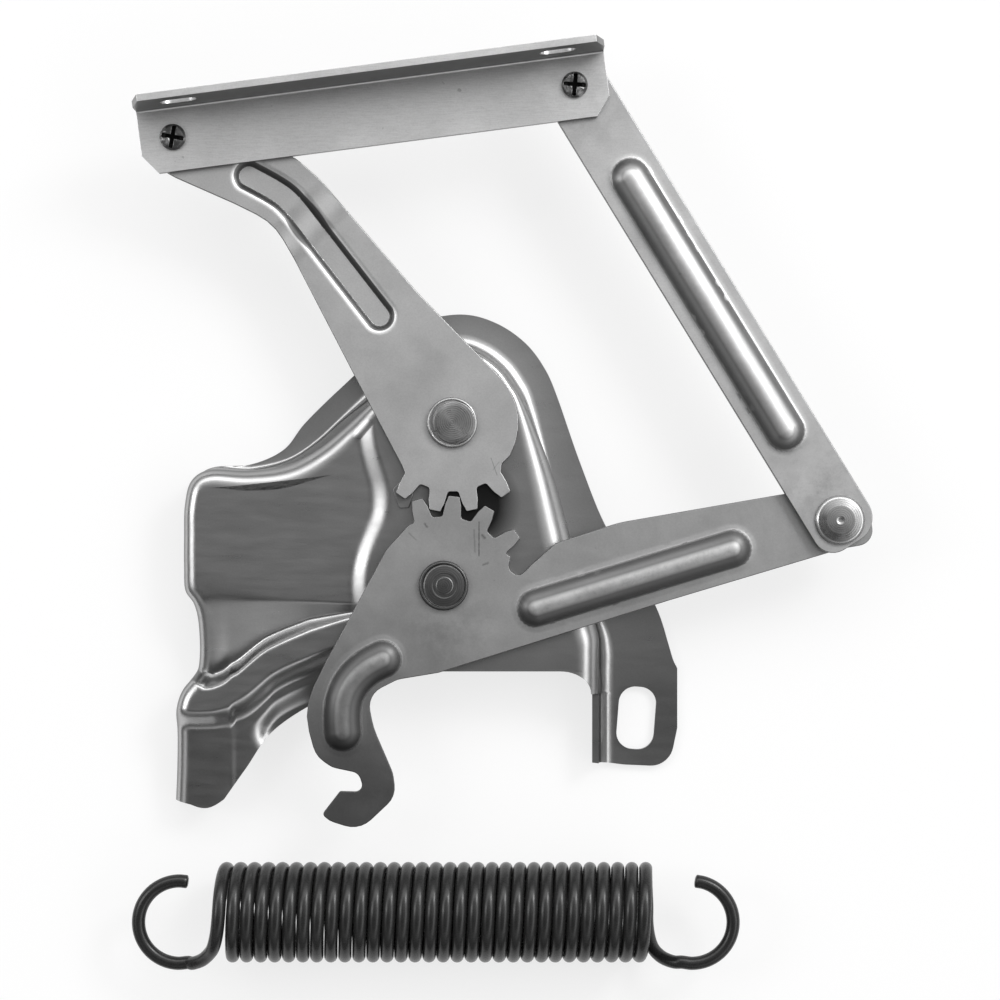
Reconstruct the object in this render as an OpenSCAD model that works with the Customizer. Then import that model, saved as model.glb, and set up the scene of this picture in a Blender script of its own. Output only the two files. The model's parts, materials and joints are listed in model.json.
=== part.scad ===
// Geared bonnet hinge for a car, lying on the back of its base bracket.
// The origin is the middle of the fixing slot in the bracket's ear, on the plane that meets the body.
// X runs across the bracket, Y up it, and Z stands away from the car body.

/* [Linkage] */
// Teeth that a full circle of the gear sectors would have
gear_teeth = 15; // [14:1:17]
// Size of a tooth: pitch diameter over teeth
tooth_module = 4.2; // [4:0.1:4.5]
// Play between two flanks in mesh
backlash = 0.5; // [0.3:0.1:0.8]
// Lower arm, gear pivot to link pivot
lower_arm_length = 154.7; // [150:0.1:165]
// Upper arm, gear pivot to rail pivot
upper_arm_length = 153; // [150:0.1:160]
// Bonnet rail, screw to screw
rail_pitch = 155.5; // [150:0.1:160]
// Front link, pivot to pivot
link_length = 195.8; // [190:0.1:200]
// Lower arm's angle above X at rest
lower_arm_rest = 9.4; // [6:0.1:12]
// Upper arm's angle above X at rest
upper_arm_rest = 134.4; // [131:0.1:137]
// Lower gear pivot from the ear slot, along X
lower_pivot_x = -75.7; // [-78:0.1:-73]
// Lower gear pivot from the ear slot, along Y
lower_pivot_y = 53.2; // [50:0.1:56]
// Direction from the lower gear pivot to the upper one
gear_line = 87; // [85:0.5:89]
// How far the tooth in mesh stands past the line of centres at rest
mesh_turn = 3.8; // [2:0.1:5]

/* [Sheet metal] */
// Base bracket's sheet
base_sheet = 2.5; // [2:0.1:3]
// Gear arms' sheet
arm_sheet = 3.2; // [2.8:0.1:3.5]
// Front link's sheet
link_sheet = 3; // [2.5:0.1:3.5]
// Bonnet rail's sheet
rail_sheet = 2.7; // [2.2:0.1:3.2]
// Face of the gear plateau above the mounting plane
plateau_height = 24; // [21:0.5:27]
// Face of the side bulge above the mounting plane
bulge_height = 22; // [18:0.5:23]
// Depth of the valley between bulge and rib
valley_depth = 11; // [6:0.5:12]
// Drop from the rib to the leg
leg_drop = 5; // [3:0.5:8]
// Gap between flat faces that turn on each other
face_gap = 0.15; // [0.1:0.05:0.3]
// Radial clearance of a running pivot
pin_gap = 0.05; // [0.03:0.01:0.1]

/* [Arms] */
// Round of the upper arm's gear hub
hub_r = 25.7; // [25:0.1:26.5]
// Round end of an arm about its far pivot
arm_end_r = 12.4; // [11.5:0.1:13]
// Half width of the front link
link_half = 12.7; // [11.5:0.1:13]
// Half width of the long beads
bead_half = 7.4; // [6:0.1:8]
// Height of the beads over the sheet
bead_rise = 3.6; // [2.5:0.1:4]
// Depth of the upper arm's pressed channel
channel_depth = 2.2; // [1.5:0.1:2.5]
// Half width of the channel's floor
channel_half = 4.6; // [4:0.1:5]

/* [Bonnet rail] */
// Rail past the rear screw
rail_rear = 12.8; // [12:0.1:16]
// Rail past the front screw
rail_front = 12.7; // [12:0.1:16]
// Web below the screw line
web_below = 13; // [12:0.1:14]
// Web above the screw line, to the flange's outer face
web_above = 14.3; // [13:0.1:16]
// Flange, out from the back of the web
flange_depth = 27.5; // [24:0.5:30]
// Length of the two slots in the flange
rail_slot_length = 14; // [10:0.5:18]
// Width of the two slots in the flange
rail_slot_width = 8.6; // [7:0.1:10]
// Slot's middle from the flange's end
rail_slot_inset = 18; // [14:0.5:24]

/* [Fasteners] */
// Gear and link rivets' shank radius
rivet_r = 6; // [5:0.1:7]
// Gear and link rivets' head radius
rivet_head_r = 9.65; // [9:0.05:10.5]
// Gear and link rivets' head height
rivet_head_h = 2.6; // [2:0.1:3]
// Spacer under each gear arm
spacer_sheet = 1; // [0.8:0.1:1.5]
// Rail screws' shank radius
screw_r = 3; // [2.5:0.1:3.5]
// Rail screws' head radius
screw_head_r = 5; // [4.5:0.1:5.5]
// Rail screws' head height
screw_head_h = 2.6; // [2:0.1:3.2]
// Rail nuts across flats
nut_flats = 10; // [9:0.5:12]
// Rail nuts' height
nut_h = 4; // [3:0.1:5]
// Ear slot's length
ear_slot_length = 24.8; // [20:0.1:28]
// Ear slot's width
ear_slot_width = 14.8; // [12:0.1:17]
// Radius of the two bolt holes in the side flange
side_hole_r = 4.5; // [3.5:0.1:5.5]

/* [Counterbalance spring] */
// Coil's outside diameter
spring_od = 38.9; // [36:0.1:42]
// Wire's diameter
spring_wire = 5.2; // [4.5:0.1:5.3]
// Pitch of the closed coil
spring_pitch = 5.45; // [5.4:0.01:6]
// Turns of the coil
spring_turns = 31; // [20:1:32]
// Outside radius of the end hooks
hook_r = 19; // [16:0.1:20]

/* [Hidden] */
$fn = 64;

// Gears
pitch_r = gear_teeth * tooth_module / 2;
tip_r = pitch_r + 0.79 * tooth_module;
root_r = pitch_r - 1.12 * tooth_module;
pressure_angle = 17;
base_r = pitch_r * cos(pressure_angle);
tooth_step = 360 / gear_teeth;

// Pivots in plan
lower_pivot = [lower_pivot_x, lower_pivot_y];
upper_pivot = lower_pivot + 2 * pitch_r * heading(gear_line);
link_pivot = lower_pivot + lower_arm_length * heading(lower_arm_rest);
rear_pivot = upper_pivot + upper_arm_length * heading(upper_arm_rest);
span = link_pivot - rear_pivot;
rail_rest = atan2(span[1], span[0])
    + acos((rail_pitch ^ 2 + norm(span) ^ 2 - link_length ^ 2) / (2 * rail_pitch * norm(span)));
front_pivot = rear_pivot + rail_pitch * heading(rail_rest);
link_rest = atan2(front_pivot[1] - link_pivot[1], front_pivot[0] - link_pivot[0]);

// Levels, from the mounting plane up
plateau_back = plateau_height - base_sheet;
arm_back = plateau_height + spacer_sheet + face_gap;
arm_face = arm_back + arm_sheet;
link_back = arm_face + spacer_sheet + face_gap;
link_face = link_back + link_sheet;
joggle = link_back - arm_back;
high_face = arm_face + joggle;
web_back = max(link_face, high_face) + face_gap;
web_face = web_back + rail_sheet;
flange_top = web_back + flange_depth;

function heading(a) = [cos(a), sin(a)];
function lerp(a, b, t) = a + (b - a) * t;
function ramp(t) = let (c = max(0, min(1, t))) c * c * (3 - 2 * c);
function unit(v) = v / norm(v);
function turned(v, a) = [v[0] * cos(a) - v[1] * sin(a), v[0] * sin(a) + v[1] * cos(a)];

// A point of the smooth curve through keys p, where u counts keys from 0
function spline(p, u) =
    let (
        n = len(p) - 1,
        i = min(floor(u), n - 1),
        t = u - i,
        a = p[i],
        b = p[i + 1],
        da = i > 0 ? (b - p[i - 1]) / 2 : b - a,
        db = i < n - 1 ? (p[i + 2] - a) / 2 : b - a
    )
    a * (2 * t ^ 3 - 3 * t ^ 2 + 1) + da * (t ^ 3 - 2 * t ^ 2 + t)
        + b * (3 * t ^ 2 - 2 * t ^ 3) + db * (t ^ 3 - t ^ 2);

// An outline whose corners [x, y, r] are rounded by their own radius
function rounded(c) = [for (i = [0:len(c) - 1]) each corner(
    [c[(i + len(c) - 1) % len(c)][0], c[(i + len(c) - 1) % len(c)][1]],
    [c[i][0], c[i][1]],
    [c[(i + 1) % len(c)][0], c[(i + 1) % len(c)][1]], c[i][2])];
function corner(a, p, b, r) =
    let (
        u = unit(a - p),
        v = unit(b - p),
        half = acos(max(-1, min(1, u * v))) / 2,
        cut = min(r / tan(half), 0.49 * norm(a - p), 0.49 * norm(b - p)),
        q = cut * tan(half),
        m = p + unit(u + v) * q / sin(half),
        from = p + u * cut - m,
        side = u[0] * v[1] - u[1] * v[0] > 0 ? -1 : 1,
        n = max(2, ceil((180 - 2 * half) / 14))
    )
    r < 0.05 || half > 89 ? [p] : [for (k = [0:n]) m + turned(from, side * (180 - 2 * half) * k / n)];

// Involute teeth of a sector, as outline points with no rounding, going clockwise past each middle
function roll(a) = tan(a) - a * PI / 180;
function half_tooth(r) =
    90 / gear_teeth - backlash / pitch_r * 45 / PI
    + (roll(pressure_angle) - roll(acos(min(1, base_r / r)))) * 180 / PI;
function gear_point(r, a, round = 0) = [r * cos(a), r * sin(a), round];
function tooth(mid) = concat(
    [gear_point(root_r, mid + half_tooth(base_r) + 1.6, 1.2)],
    [for (r = [base_r + 0.2, pitch_r, tip_r - 1.2]) gear_point(r, mid + half_tooth(r))],
    [gear_point(tip_r, mid + half_tooth(tip_r - 0.6), 1), gear_point(tip_r, mid - half_tooth(tip_r - 0.6), 1)],
    [for (r = [tip_r - 1.2, pitch_r, base_r + 0.2]) gear_point(r, mid - half_tooth(r))],
    [gear_point(root_r, mid - half_tooth(base_r) - 1.6, 1.2)]);

// A flat bar of outline c between two levels
module plate(c, from, to) {
    translate([0, 0, from])
        linear_extrude(height = to - from) polygon(rounded(c));
}
module bore(r, x = 0, y = 0) {
    translate([x, y, -1]) cylinder(r = r, h = flange_top + 2);
}

// Half-round bead along a path in plan, from below the face up to its crown
module bead(path, half, rise, face) {
    crown_r = (half ^ 2 + rise ^ 2) / (2 * rise);
    skirt = 0.4;
    reach = sqrt(crown_r ^ 2 - (crown_r - rise - skirt) ^ 2);
    ends = [for (a = [-81, -55, -28]) [0, a]];
    along = concat(ends, [for (k = [0:len(path) - 1]) [k, 0]], [for (a = [28, 55, 81]) [len(path) - 1, a]]);
    across = [for (a = [-90:22.5:90]) sin(a)];
    low = face - skirt - 0.6;
    top = [for (s = along, v = across)
        let (
            t = unit(path[min(s[0] + 1, len(path) - 1)] - path[max(s[0] - 1, 0)]),
            e = reach * sin(s[1]),
            w = v * reach * cos(s[1]),
            p = path[s[0]] + t * e + [-t[1], t[0]] * w
        )
        [p[0], p[1], face + rise - crown_r + sqrt(max(0, crown_r ^ 2 - e ^ 2 - w ^ 2))]];
    closed_grid(top, [for (p = top) [p[0], p[1], low]], len(along), len(across));
}

// A closed solid between two grids of rows by columns
module closed_grid(top, bottom, rows, columns) {
    n = rows * columns;
    rim = concat([for (j = [0:columns - 1]) j], [for (i = [1:rows - 1]) i * columns + columns - 1],
        [for (j = [columns - 2:-1:0]) (rows - 1) * columns + j], [for (i = [rows - 2:-1:1]) i * columns]);
    cells = [for (i = [0:rows - 2], j = [0:columns - 2]) i * columns + j];
    polyhedron(concat(top, bottom), concat(
        [for (c = cells) each [[c, c + 1, c + columns + 1], [c, c + columns + 1, c + columns]]],
        [for (c = cells) each [[c + n, c + columns + n + 1, c + n + 1], [c + n, c + columns + n, c + columns + n + 1]]],
        [for (k = [0:len(rim) - 1]) let (a = rim[k], b = rim[(k + 1) % len(rim)])
            each [[a, a + n, b + n], [a, b + n, b]]]), convexity = 6);
}

// Base bracket
rim_face = base_sheet;
side_bend_r = 5.5;
ring_margin = 1;
row_end = -94;
leg_end_lean = 0.25;
// Foot of the pressed wall: x, y, flange outside it, wall's width, 1 where it is the square side flange,
// foot's and crown's radius, and where the row that starts here ends on the right, x and y, and how far
// that row follows the rib
side_keys = [
    [-181.4, -31.5, 0, side_bend_r, 1, 2.5, 5, -162, -31, 0.1],
    [-180.8, -20, 0, side_bend_r, 1, 2.5, 5, -153.5, -19, 0.2],
    [-180.5, -8, 0, side_bend_r, 1, 2.5, 5, -142, -3.5, 0.4],
    [-180.5, 2, 0, side_bend_r, 1, 2.5, 5, -120, 10, 0.8],
    [-179.5, 8, 0, side_bend_r, 1, 2.5, 5, row_end, 19.7, 1],
    [-177.5, 12.5, 0, side_bend_r, 1, 2.5, 5, row_end, 31, 1],
    [-173.5, 18, 0, side_bend_r, 1, 2.5, 5, row_end, 38, 1],
    [-172, 26, 0, side_bend_r, 1, 2.5, 5, row_end, 45, 0.8],
    [-172, 38, 0, side_bend_r, 1, 2.5, 5, row_end, 50, 0.4],
    [-173.4, 45.5, 0, side_bend_r, 1, 2.5, 5, row_end, 55, 0.15],
    [-176.8, 51, 0, side_bend_r, 1, 2.5, 5, row_end, 60, 0],
    [-177.3, 60, 0, side_bend_r, 1, 2.5, 5, row_end, 66, 0],
    [-177.3, 72, 0, side_bend_r, 1, 2.5, 5, row_end, 75, 0],
    [-177, 84, 0, side_bend_r, 1, 2.5, 5, row_end, 86, 0],
    [-174.5, 94, 0, 6, 0.8, 2.5, 5, row_end, 94, 0],
    [-167, 99.2, 0, 7.5, 0.3, 2.5, 6, row_end, 98, 0],
    [-152, 99.8, 0.6, 9, 0, 2, 7, row_end, 101, 0],
    [-138, 103, 3.5, 11, 0, 1.5, 8, row_end, 104, 0],
    [-127, 110, 7.5, 12, 0, 1.5, 8, row_end, 108, 0],
    [-117, 119.4, 8, 12, 0, 2, 7, row_end, 113.5, 0],
    [-107, 129.5, 7.5, 11, 0, 4, 5, row_end, 121, 0]];
rim_keys = [
    [-94.5, 141, 8, 9.5, 0, 6, 3],
    [-82.5, 149, 8, 9, 0, 7, 2.5],
    [-69.5, 152, 7.6, 9, 0, 7, 2.5],
    [-59, 149, 8, 9, 0, 7, 2.5],
    [-50, 142.5, 8.4, 9, 0, 7, 2.5],
    [-43.8, 134.5, 8.4, 9, 0, 7, 2.5],
    [-39.5, 124.5, 8.6, 9, 0, 6, 4],
    [-33.3, 98, 11.5, 9.5, 0, 2.5, 9],
    [-26.6, 70.8, 15.5, 10.5, 0, 2.5, 11],
    [-18.5, 50, 20.5, 12, 0, 3, 10.5],
    [-11.2, 36, 20.6, 14, 0, 4.5, 9],
    [-8.8, 27, 21.6, 15, 0, 6, 8],
    [-8.8, 19.7, 25, 15, 0, 6, 8]];
steps = 2;
side_stations = [for (k = [0:steps * (len(side_keys) - 1)]) spline(side_keys, k / steps)];
wall_keys = concat([for (k = side_keys) [for (c = [0:6]) k[c]]], rim_keys);
stations = [for (k = [0:steps * (len(wall_keys) - 1)]) spline(wall_keys, k / steps)];
hub = [-60, 70];
rib_line = [[-182, 8.6], [-166, 8.6], [-158, 12.5], [-143, 23.5], [-127, 30.6], [-108, 36.8], [-92, 41]];
rib_half = 4;
rib_wall = 5.5;
bulge_foot = 48.5;
bulge_lean = -0.04;
leg_slope = 0.1;
pad_r = 33;
pad_left = -99;
pad_blend = 3;
step_width = 8;

// Height of a smooth curve at x, through keys [x, y]
function over(keys, x) = let (
        i = max([for (k = [0:len(keys) - 2]) if (k == 0 || keys[k][0] <= x) k]),
        t = (x - keys[i][0]) / (keys[i + 1][0] - keys[i][0])
    ) spline(keys, i + max(0, min(1, t)))[1];

function soft_min(a, b, k) = min(a, b) - k * max(0, 1 - abs(a - b) / (4 * k)) ^ 2;
// Distance outside the edge of the raised plateau
function past_plateau(x, y) = soft_min(
    soft_min(norm([x, y] - upper_pivot), norm([x, y] - lower_pivot), pad_blend) - pad_r, pad_left - x, pad_blend);
// Height of the bracket's outer face inside its walls
function level(x, y) =
    let (
        rib = over(rib_line, x),
        tilt = norm([1, (over(rib_line, x + 1) - over(rib_line, x - 1)) / 2]),
        off = (y - rib) / tilt,
        foot = bulge_foot + bulge_lean * (x - side_keys[6][0]),
        gap = max(0.5, foot - rib - rib_half * tilt),
        t = (foot - y) / gap,
        wall = min(0.45, rib_wall / gap),
        valley = min(valley_depth, gap / 3) * max(0, min(1, t / (1 - wall))) * (1 - ramp((t - 1 + wall) / wall)),
        below = -off - rib_half,
        flare = 3 * ramp((off + 40) / 14) * ramp((x + 0.62 * (y + 12) + 148) / 9) * ramp((below - 10) / 8),
        leg = leg_drop * ramp(below / 8) + leg_slope * max(0, below) + flare,
        left = bulge_height - (off > 0 ? valley : leg)
    )
    lerp(left, plateau_height, ramp(0.5 - past_plateau(x, y) / step_width));
// Height of its back face, which keeps the sheet's thickness on a slope
function level_back(x, y) = level(x, y) - base_sheet
    * min(1.7, norm([level(x - 0.5, y) - level(x + 0.5, y), level(x, y - 0.5) - level(x, y + 0.5), 1]));

// Section of the wall as ten points [out from the foot, height], a square bend or a sloped wall
function square_section(w, top) = concat(
    [for (f = [0, 0.3, 0.6, 0.85]) [0, (top - w) * f]],
    [for (a = [0:22.5:90]) [w * (1 - cos(a)), top - w * (1 - sin(a))]],
    [[w + ring_margin, top]]);
function sloped_section(w, top, flange, foot_r, crown_r) =
    let (
        h = top - rim_face,
        both = min(foot_r + crown_r, h - 0.5),
        foot = both * foot_r / (foot_r + crown_r),
        crown = both - foot,
        rise = h - both,
        steep = atan2(rise, w) + asin(min(1, both / norm([w, rise])))
    )
    concat(
        [[-flange, rim_face]],
        [for (a = [0, 0.5, 1]) [foot * sin(steep * a), rim_face + foot * (1 - cos(steep * a))]],
        [for (a = [1, 0.75, 0.5, 0.25, 0]) [w - crown * sin(steep * a), top - crown * (1 - cos(steep * a))]],
        [[w + ring_margin, top]]);
function wall_tangent(i) = let (
        n = len(stations) - 1,
        a = stations[max(0, i - 1)],
        b = stations[min(n, i + 1)]
    ) i == n ? [0, -1] : i == 0 ? unit([leg_end_lean, 1]) : unit([b[0] - a[0], b[1] - a[1]]);
function wall_section(i) =
    let (
        s = stations[i],
        t = wall_tangent(i),
        inward = [t[1], -t[0]],
        ring = [s[0], s[1]] + inward * (s[3] + ring_margin),
        top = level(ring[0], ring[1]),
        a = square_section(s[3], top),
        b = sloped_section(s[3], top, s[2], s[5], s[6]),
        k = max(0, min(1, s[4]))
    )
    [for (j = [0:9]) lerp(b[j], a[j], k)];
function wall_row(i) =
    let (
        s = stations[i],
        t = wall_tangent(i),
        inward = [t[1], -t[0]],
        c = wall_section(i)
    )
    [for (j = [0:9])
        let (
            along = unit(c[min(9, j + 1)] - c[max(0, j - 1)]),
            n = j == 0 ? (s[4] > 0.5 ? [-1, 0] : [0, 1]) : [-along[1], along[0]],
            p = [s[0] + inward[0] * c[j][0], s[1] + inward[1] * c[j][0], c[j][1]],
            back = p - base_sheet * [inward[0] * n[0], inward[1] * n[0], n[1]]
        )
        [p, j == 9 ? [p[0], p[1], level_back(p[0], p[1])] : [back[0], back[1], max(0, back[2])]]];
wall = [for (i = [0:len(stations) - 1]) wall_row(i)];
rows = len(side_stations);
columns = 17;

// One row of the inner sheet, from the wall's inner edge to the row's right end
function inner_row(i) =
    let (
        s = side_stations[i],
        from = wall[i][9][0],
        drop = over(rib_line, from[0]),
        gain = over(rib_line, s[7]) - drop,
        sag = i == 0 ? 2.4 : i == 1 ? 0.8 : 0
    )
    [for (j = [1:columns])
        let (
            t = 1 - (1 - j / columns) ^ 1.3,
            x = lerp(from[0], s[7], t),
            rib_way = gain > 4 ? (over(rib_line, x) - drop) / gain : t,
            y = lerp(from[1], s[8], lerp(t, rib_way, max(0, min(1, s[9])))) - sag * sin(180 * t),
            p = [x, y, level(x, y)]
        )
        [p, [x, y, level_back(x, y)]]];
inner = [for (i = [0:rows - 1]) inner_row(i)];
wall_count = len(stations) * 10;
sheet_points = concat([for (r = wall) each r], [for (r = inner) each r], [[[hub[0], hub[1], plateau_height],
    [hub[0], hub[1], plateau_back]]]);
function wall_at(i, j) = i * 10 + j;
function inner_at(i, j) = j == 0 ? wall_at(i, 9) : wall_count + i * columns + j - 1;
hub_at = len(sheet_points) - 1;
// The plateau's own edge starts on this row
edge_row = 4 * steps;
plateau_edge = concat([for (i = [edge_row:rows - 1]) inner_at(i, columns)],
    [for (j = [columns - 1:-1:1]) inner_at(rows - 1, j)], [for (i = [rows - 1:len(stations) - 1]) wall_at(i, 9)]);

module pressed_sheet() {
    n = len(sheet_points);
    last = len(stations) - 1;
    upper = concat(
        [for (i = [0:last - 1], j = [0:8]) each split(wall_at(i, j), wall_at(i + 1, j), wall_at(i + 1, j + 1), wall_at(i, j + 1))],
        [for (i = [0:rows - 2], j = [0:columns - 1])
            each split(inner_at(i, j), inner_at(i + 1, j), inner_at(i + 1, j + 1), inner_at(i, j + 1))],
        [for (k = [0:len(plateau_edge) - 1]) [plateau_edge[k], plateau_edge[(k + 1) % len(plateau_edge)], hub_at]]);
    rim = concat([for (i = [0:last]) wall_at(i, 0)], [for (j = [1:9]) wall_at(last, j)],
        [for (i = [edge_row:-1:0]) inner_at(i, columns)], [for (j = [columns - 1:-1:0]) inner_at(0, j)],
        [for (j = [8:-1:1]) wall_at(0, j)]);
    polyhedron(concat([for (p = sheet_points) p[0]], [for (p = sheet_points) p[1]]), concat(
        upper,
        [for (f = upper) [f[0] + n, f[2] + n, f[1] + n]],
        [for (k = [0:len(rim) - 1]) let (a = rim[k], b = rim[(k + 1) % len(rim)])
            each [[a, a + n, b + n], [a, b + n, b]]]), convexity = 10);
}
// A four-sided cell as two triangles, cut along its shorter diagonal
function split(a, b, c, d) =
    norm(sheet_points[a][0] - sheet_points[c][0]) <= norm(sheet_points[b][0] - sheet_points[d][0])
    ? [[a, b, c], [a, c, d]] : [[a, b, d], [b, c, d]];

// Ear with its slot and the low lip along its left edge
ear_top = rim_keys[len(rim_keys) - 1][1];
ear_foot = rim_keys[len(rim_keys) - 1][0];
ear_right = ear_foot + rim_keys[len(rim_keys) - 1][2];
ear_outline = [[ear_right, ear_top + 1, 0], [17, 12, 9], [16.4, -3, 20], [13, -19.2, 9], [-5, -18.4, 9],
    [-20.5, -16.4, 1], [-19.6, 6, 3], [-19.4, ear_top + 1, 0]];
ear_slot_lean = -4.5;
lip_height = 12;
// Rounded corner where the plateau's lower edge runs down into the lip
corner_left = -38;
corner_right = ear_foot - 4;
corner_outline = concat([[corner_left, ear_top + 1, 0], [corner_left, ear_top, 0]],
    [for (a = [90:-15:0]) [-30.4 + 12 * cos(a), ear_top - 9 + 9 * sin(a), 0]],
    [[corner_right, ear_top - 9, 0], [corner_right, ear_top + 1, 0]]);
module ear() {
    intersection() {
        union() {
            plate(ear_outline, -1, lip_height);
            plate(corner_outline, -1, plateau_height + 1);
        }
        translate([0, ear_top, 0]) rotate([90, 0, 0])
            linear_extrude(height = 40) polygon(ear_section());
    }
}
// The wall's last section, seen along Y
function ear_section() =
    let (row = wall[len(wall) - 1])
    concat([[ear_right, row[0][0][2]]], [for (p = row) [p[0][0], p[0][2]]],
        [[corner_left - 1, plateau_height], [corner_left - 1, plateau_back]],
        [for (k = [len(row) - 1:-1:0]) [row[k][1][0], row[k][1][2]]], [[ear_right, 0]]);
// Low rest pad beside the teeth
rest_pad = [[-95.6, 90.2, 1], [-92.6, 93.4, 1], [-89, 94.4, 1], [-87.6, 88, 1], [-89.2, 83.2, 1], [-93, 83, 1]];
rest_pad_h = 0.8;
side_holes = [[-177.3, 72, 9], [-180.7, -14, 5.8]];
module base_bracket() {
    color("silver")
        difference() {
            union() {
                pressed_sheet();
                ear();
                plate(rest_pad, plateau_height - 1, plateau_height + rest_pad_h);
            }
            rotate([0, 0, ear_slot_lean])
                plate([for (sx = [[1, 1], [-1, 1], [-1, -1], [1, -1]])
                    [sx[0] * ear_slot_width / 2, sx[1] * ear_slot_length / 2, 0.44 * ear_slot_width]], -1, rim_face + 1);
            bore(rivet_r + pin_gap, upper_pivot[0], upper_pivot[1]);
            bore(rivet_r + pin_gap, lower_pivot[0], lower_pivot[1]);
            for (h = side_holes)
                translate(h - [6, 0, 0]) rotate([0, 90, 0]) cylinder(r = side_hole_r, h = 12);
        }
}

// Rivets: a round head on a shank with a spread tail
module rivet(seat, length, tail_r, tail_h) {
    rotate_extrude() polygon([
        [0, seat - length - tail_h], [tail_r - 1, seat - length - tail_h], [tail_r, seat - length - tail_h + 1],
        [tail_r, seat - length], [rivet_r, seat - length], [rivet_r, seat], [rivet_head_r, seat],
        [rivet_head_r, seat + rivet_head_h - 0.8], [rivet_head_r - 0.8, seat + rivet_head_h],
        [rivet_head_r - 1.5, seat + rivet_head_h], [rivet_head_r - 1.7, seat + rivet_head_h - 0.3],
        [0, seat + rivet_head_h - 0.3]]);
}
module ring(r_in, r_out, from, to) {
    translate([0, 0, from])
        difference() {
            cylinder(r = r_out, h = to - from);
            translate([0, 0, -1]) cylinder(r = r_in, h = to - from + 2);
        }
}
washer_r = rivet_r + 4.5;
washer_sheet = 1.2;
tail_r = rivet_r + 2.4;
tail_h = 1.8;
gear_seat = arm_face + face_gap;
gear_grip = gear_seat - plateau_back + washer_sheet;
module gear_rivet() {
    color("dimgray") rivet(gear_seat, gear_grip, tail_r, tail_h);
}
module gear_spacer() {
    color("gray") ring(rivet_r + pin_gap, 2 * rivet_r, plateau_height, plateau_height + spacer_sheet);
}
module gear_washer() {
    color("gray") ring(rivet_r + pin_gap, washer_r, plateau_back - washer_sheet, plateau_back);
}
module upper_pivot_rivet() {
    translate(upper_pivot) gear_rivet();
}
module upper_pivot_spacer() {
    translate(upper_pivot) gear_spacer();
}
module upper_pivot_washer() {
    translate(upper_pivot) gear_washer();
}
module lower_pivot_rivet() {
    translate(lower_pivot) gear_rivet();
}
module lower_pivot_spacer() {
    translate(lower_pivot) gear_spacer();
}
module lower_pivot_washer() {
    translate(lower_pivot) gear_washer();
}

// Upper arm, drawn with its gear pivot at 0 and its rail pivot on X
upper_first_tooth = gear_line + 180 + mesh_turn - 1.5 * tooth_step - upper_arm_rest;
upper_teeth = [for (k = [3:-1:0]) each tooth(upper_first_tooth + k * tooth_step)];
joggle_start = 84;
joggle_width = 9;
upper_outline = concat(
    [[upper_arm_length + arm_end_r, arm_end_r, arm_end_r], [upper_arm_length + arm_end_r, -arm_end_r, arm_end_r],
        [upper_arm_length - 4, -arm_end_r, 12], [115, -28.2, 12], [102, -29.2, 30], [44, -25.6, 60]],
    [for (a = [-92:-12:-164]) gear_point(hub_r, a)],
    [[-hub_r + 0.9, -2.5, 2]],
    upper_teeth,
    [[1.5, 25.6, 2], [39, 14.4, 60], [88, -0.6, 30], [103, -4.6, 24], [119, 1, 30], [upper_arm_length - 8, arm_end_r - 1, 20]]);
channel_path = [[122, -10.4], [107.5, -15], [94, -14.4], [87, -15.3], [50.6, -9.4]];
// A band that follows the arm's joggle between two offsets from its back face
module joggled(from, to) {
    a = joggle_start;
    b = joggle_start + joggle_width;
    translate([0, 60, arm_back]) rotate([90, 0, 0])
        linear_extrude(height = 120) polygon([[-60, from], [a, from], [b, from + joggle], [200, from + joggle],
            [200, to + joggle], [b, to + joggle], [a, to], [-60, to]]);
}
function either_side(path, half) =
    let (
        n = len(path) - 1,
        ways = [for (k = [0:n]) unit(path[min(n, k + 1)] - path[max(0, k - 1)])]
    )
    concat([for (k = [0:n]) concat(path[k] + half * [-ways[k][1], ways[k][0]]
            + (k == 0 ? -half : k == n ? half : 0) * ways[k], k == 0 || k == n ? half : 10)],
        [for (k = [n:-1:0]) concat(path[k] - half * [-ways[k][1], ways[k][0]]
            + (k == 0 ? -half : k == n ? half : 0) * ways[k], k == 0 || k == n ? half : 10)]);
module upper_arm() {
    color("darkgray")
        translate([upper_pivot[0], upper_pivot[1], 0]) rotate([0, 0, upper_arm_rest])
            difference() {
                union() {
                    intersection() {
                        plate(upper_outline, 0, flange_top);
                        joggled(0, arm_sheet);
                    }
                    intersection() {
                        plate(either_side(channel_path, channel_half + 2.2), 0, flange_top);
                        joggled(-channel_depth, 0.5);
                    }
                }
                intersection() {
                    plate(either_side(channel_path, channel_half), 0, flange_top);
                    joggled(arm_sheet - channel_depth, arm_sheet + 20);
                }
                bore(rivet_r + pin_gap);
                bore(screw_r + pin_gap, upper_arm_length);
            }
}

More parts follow.
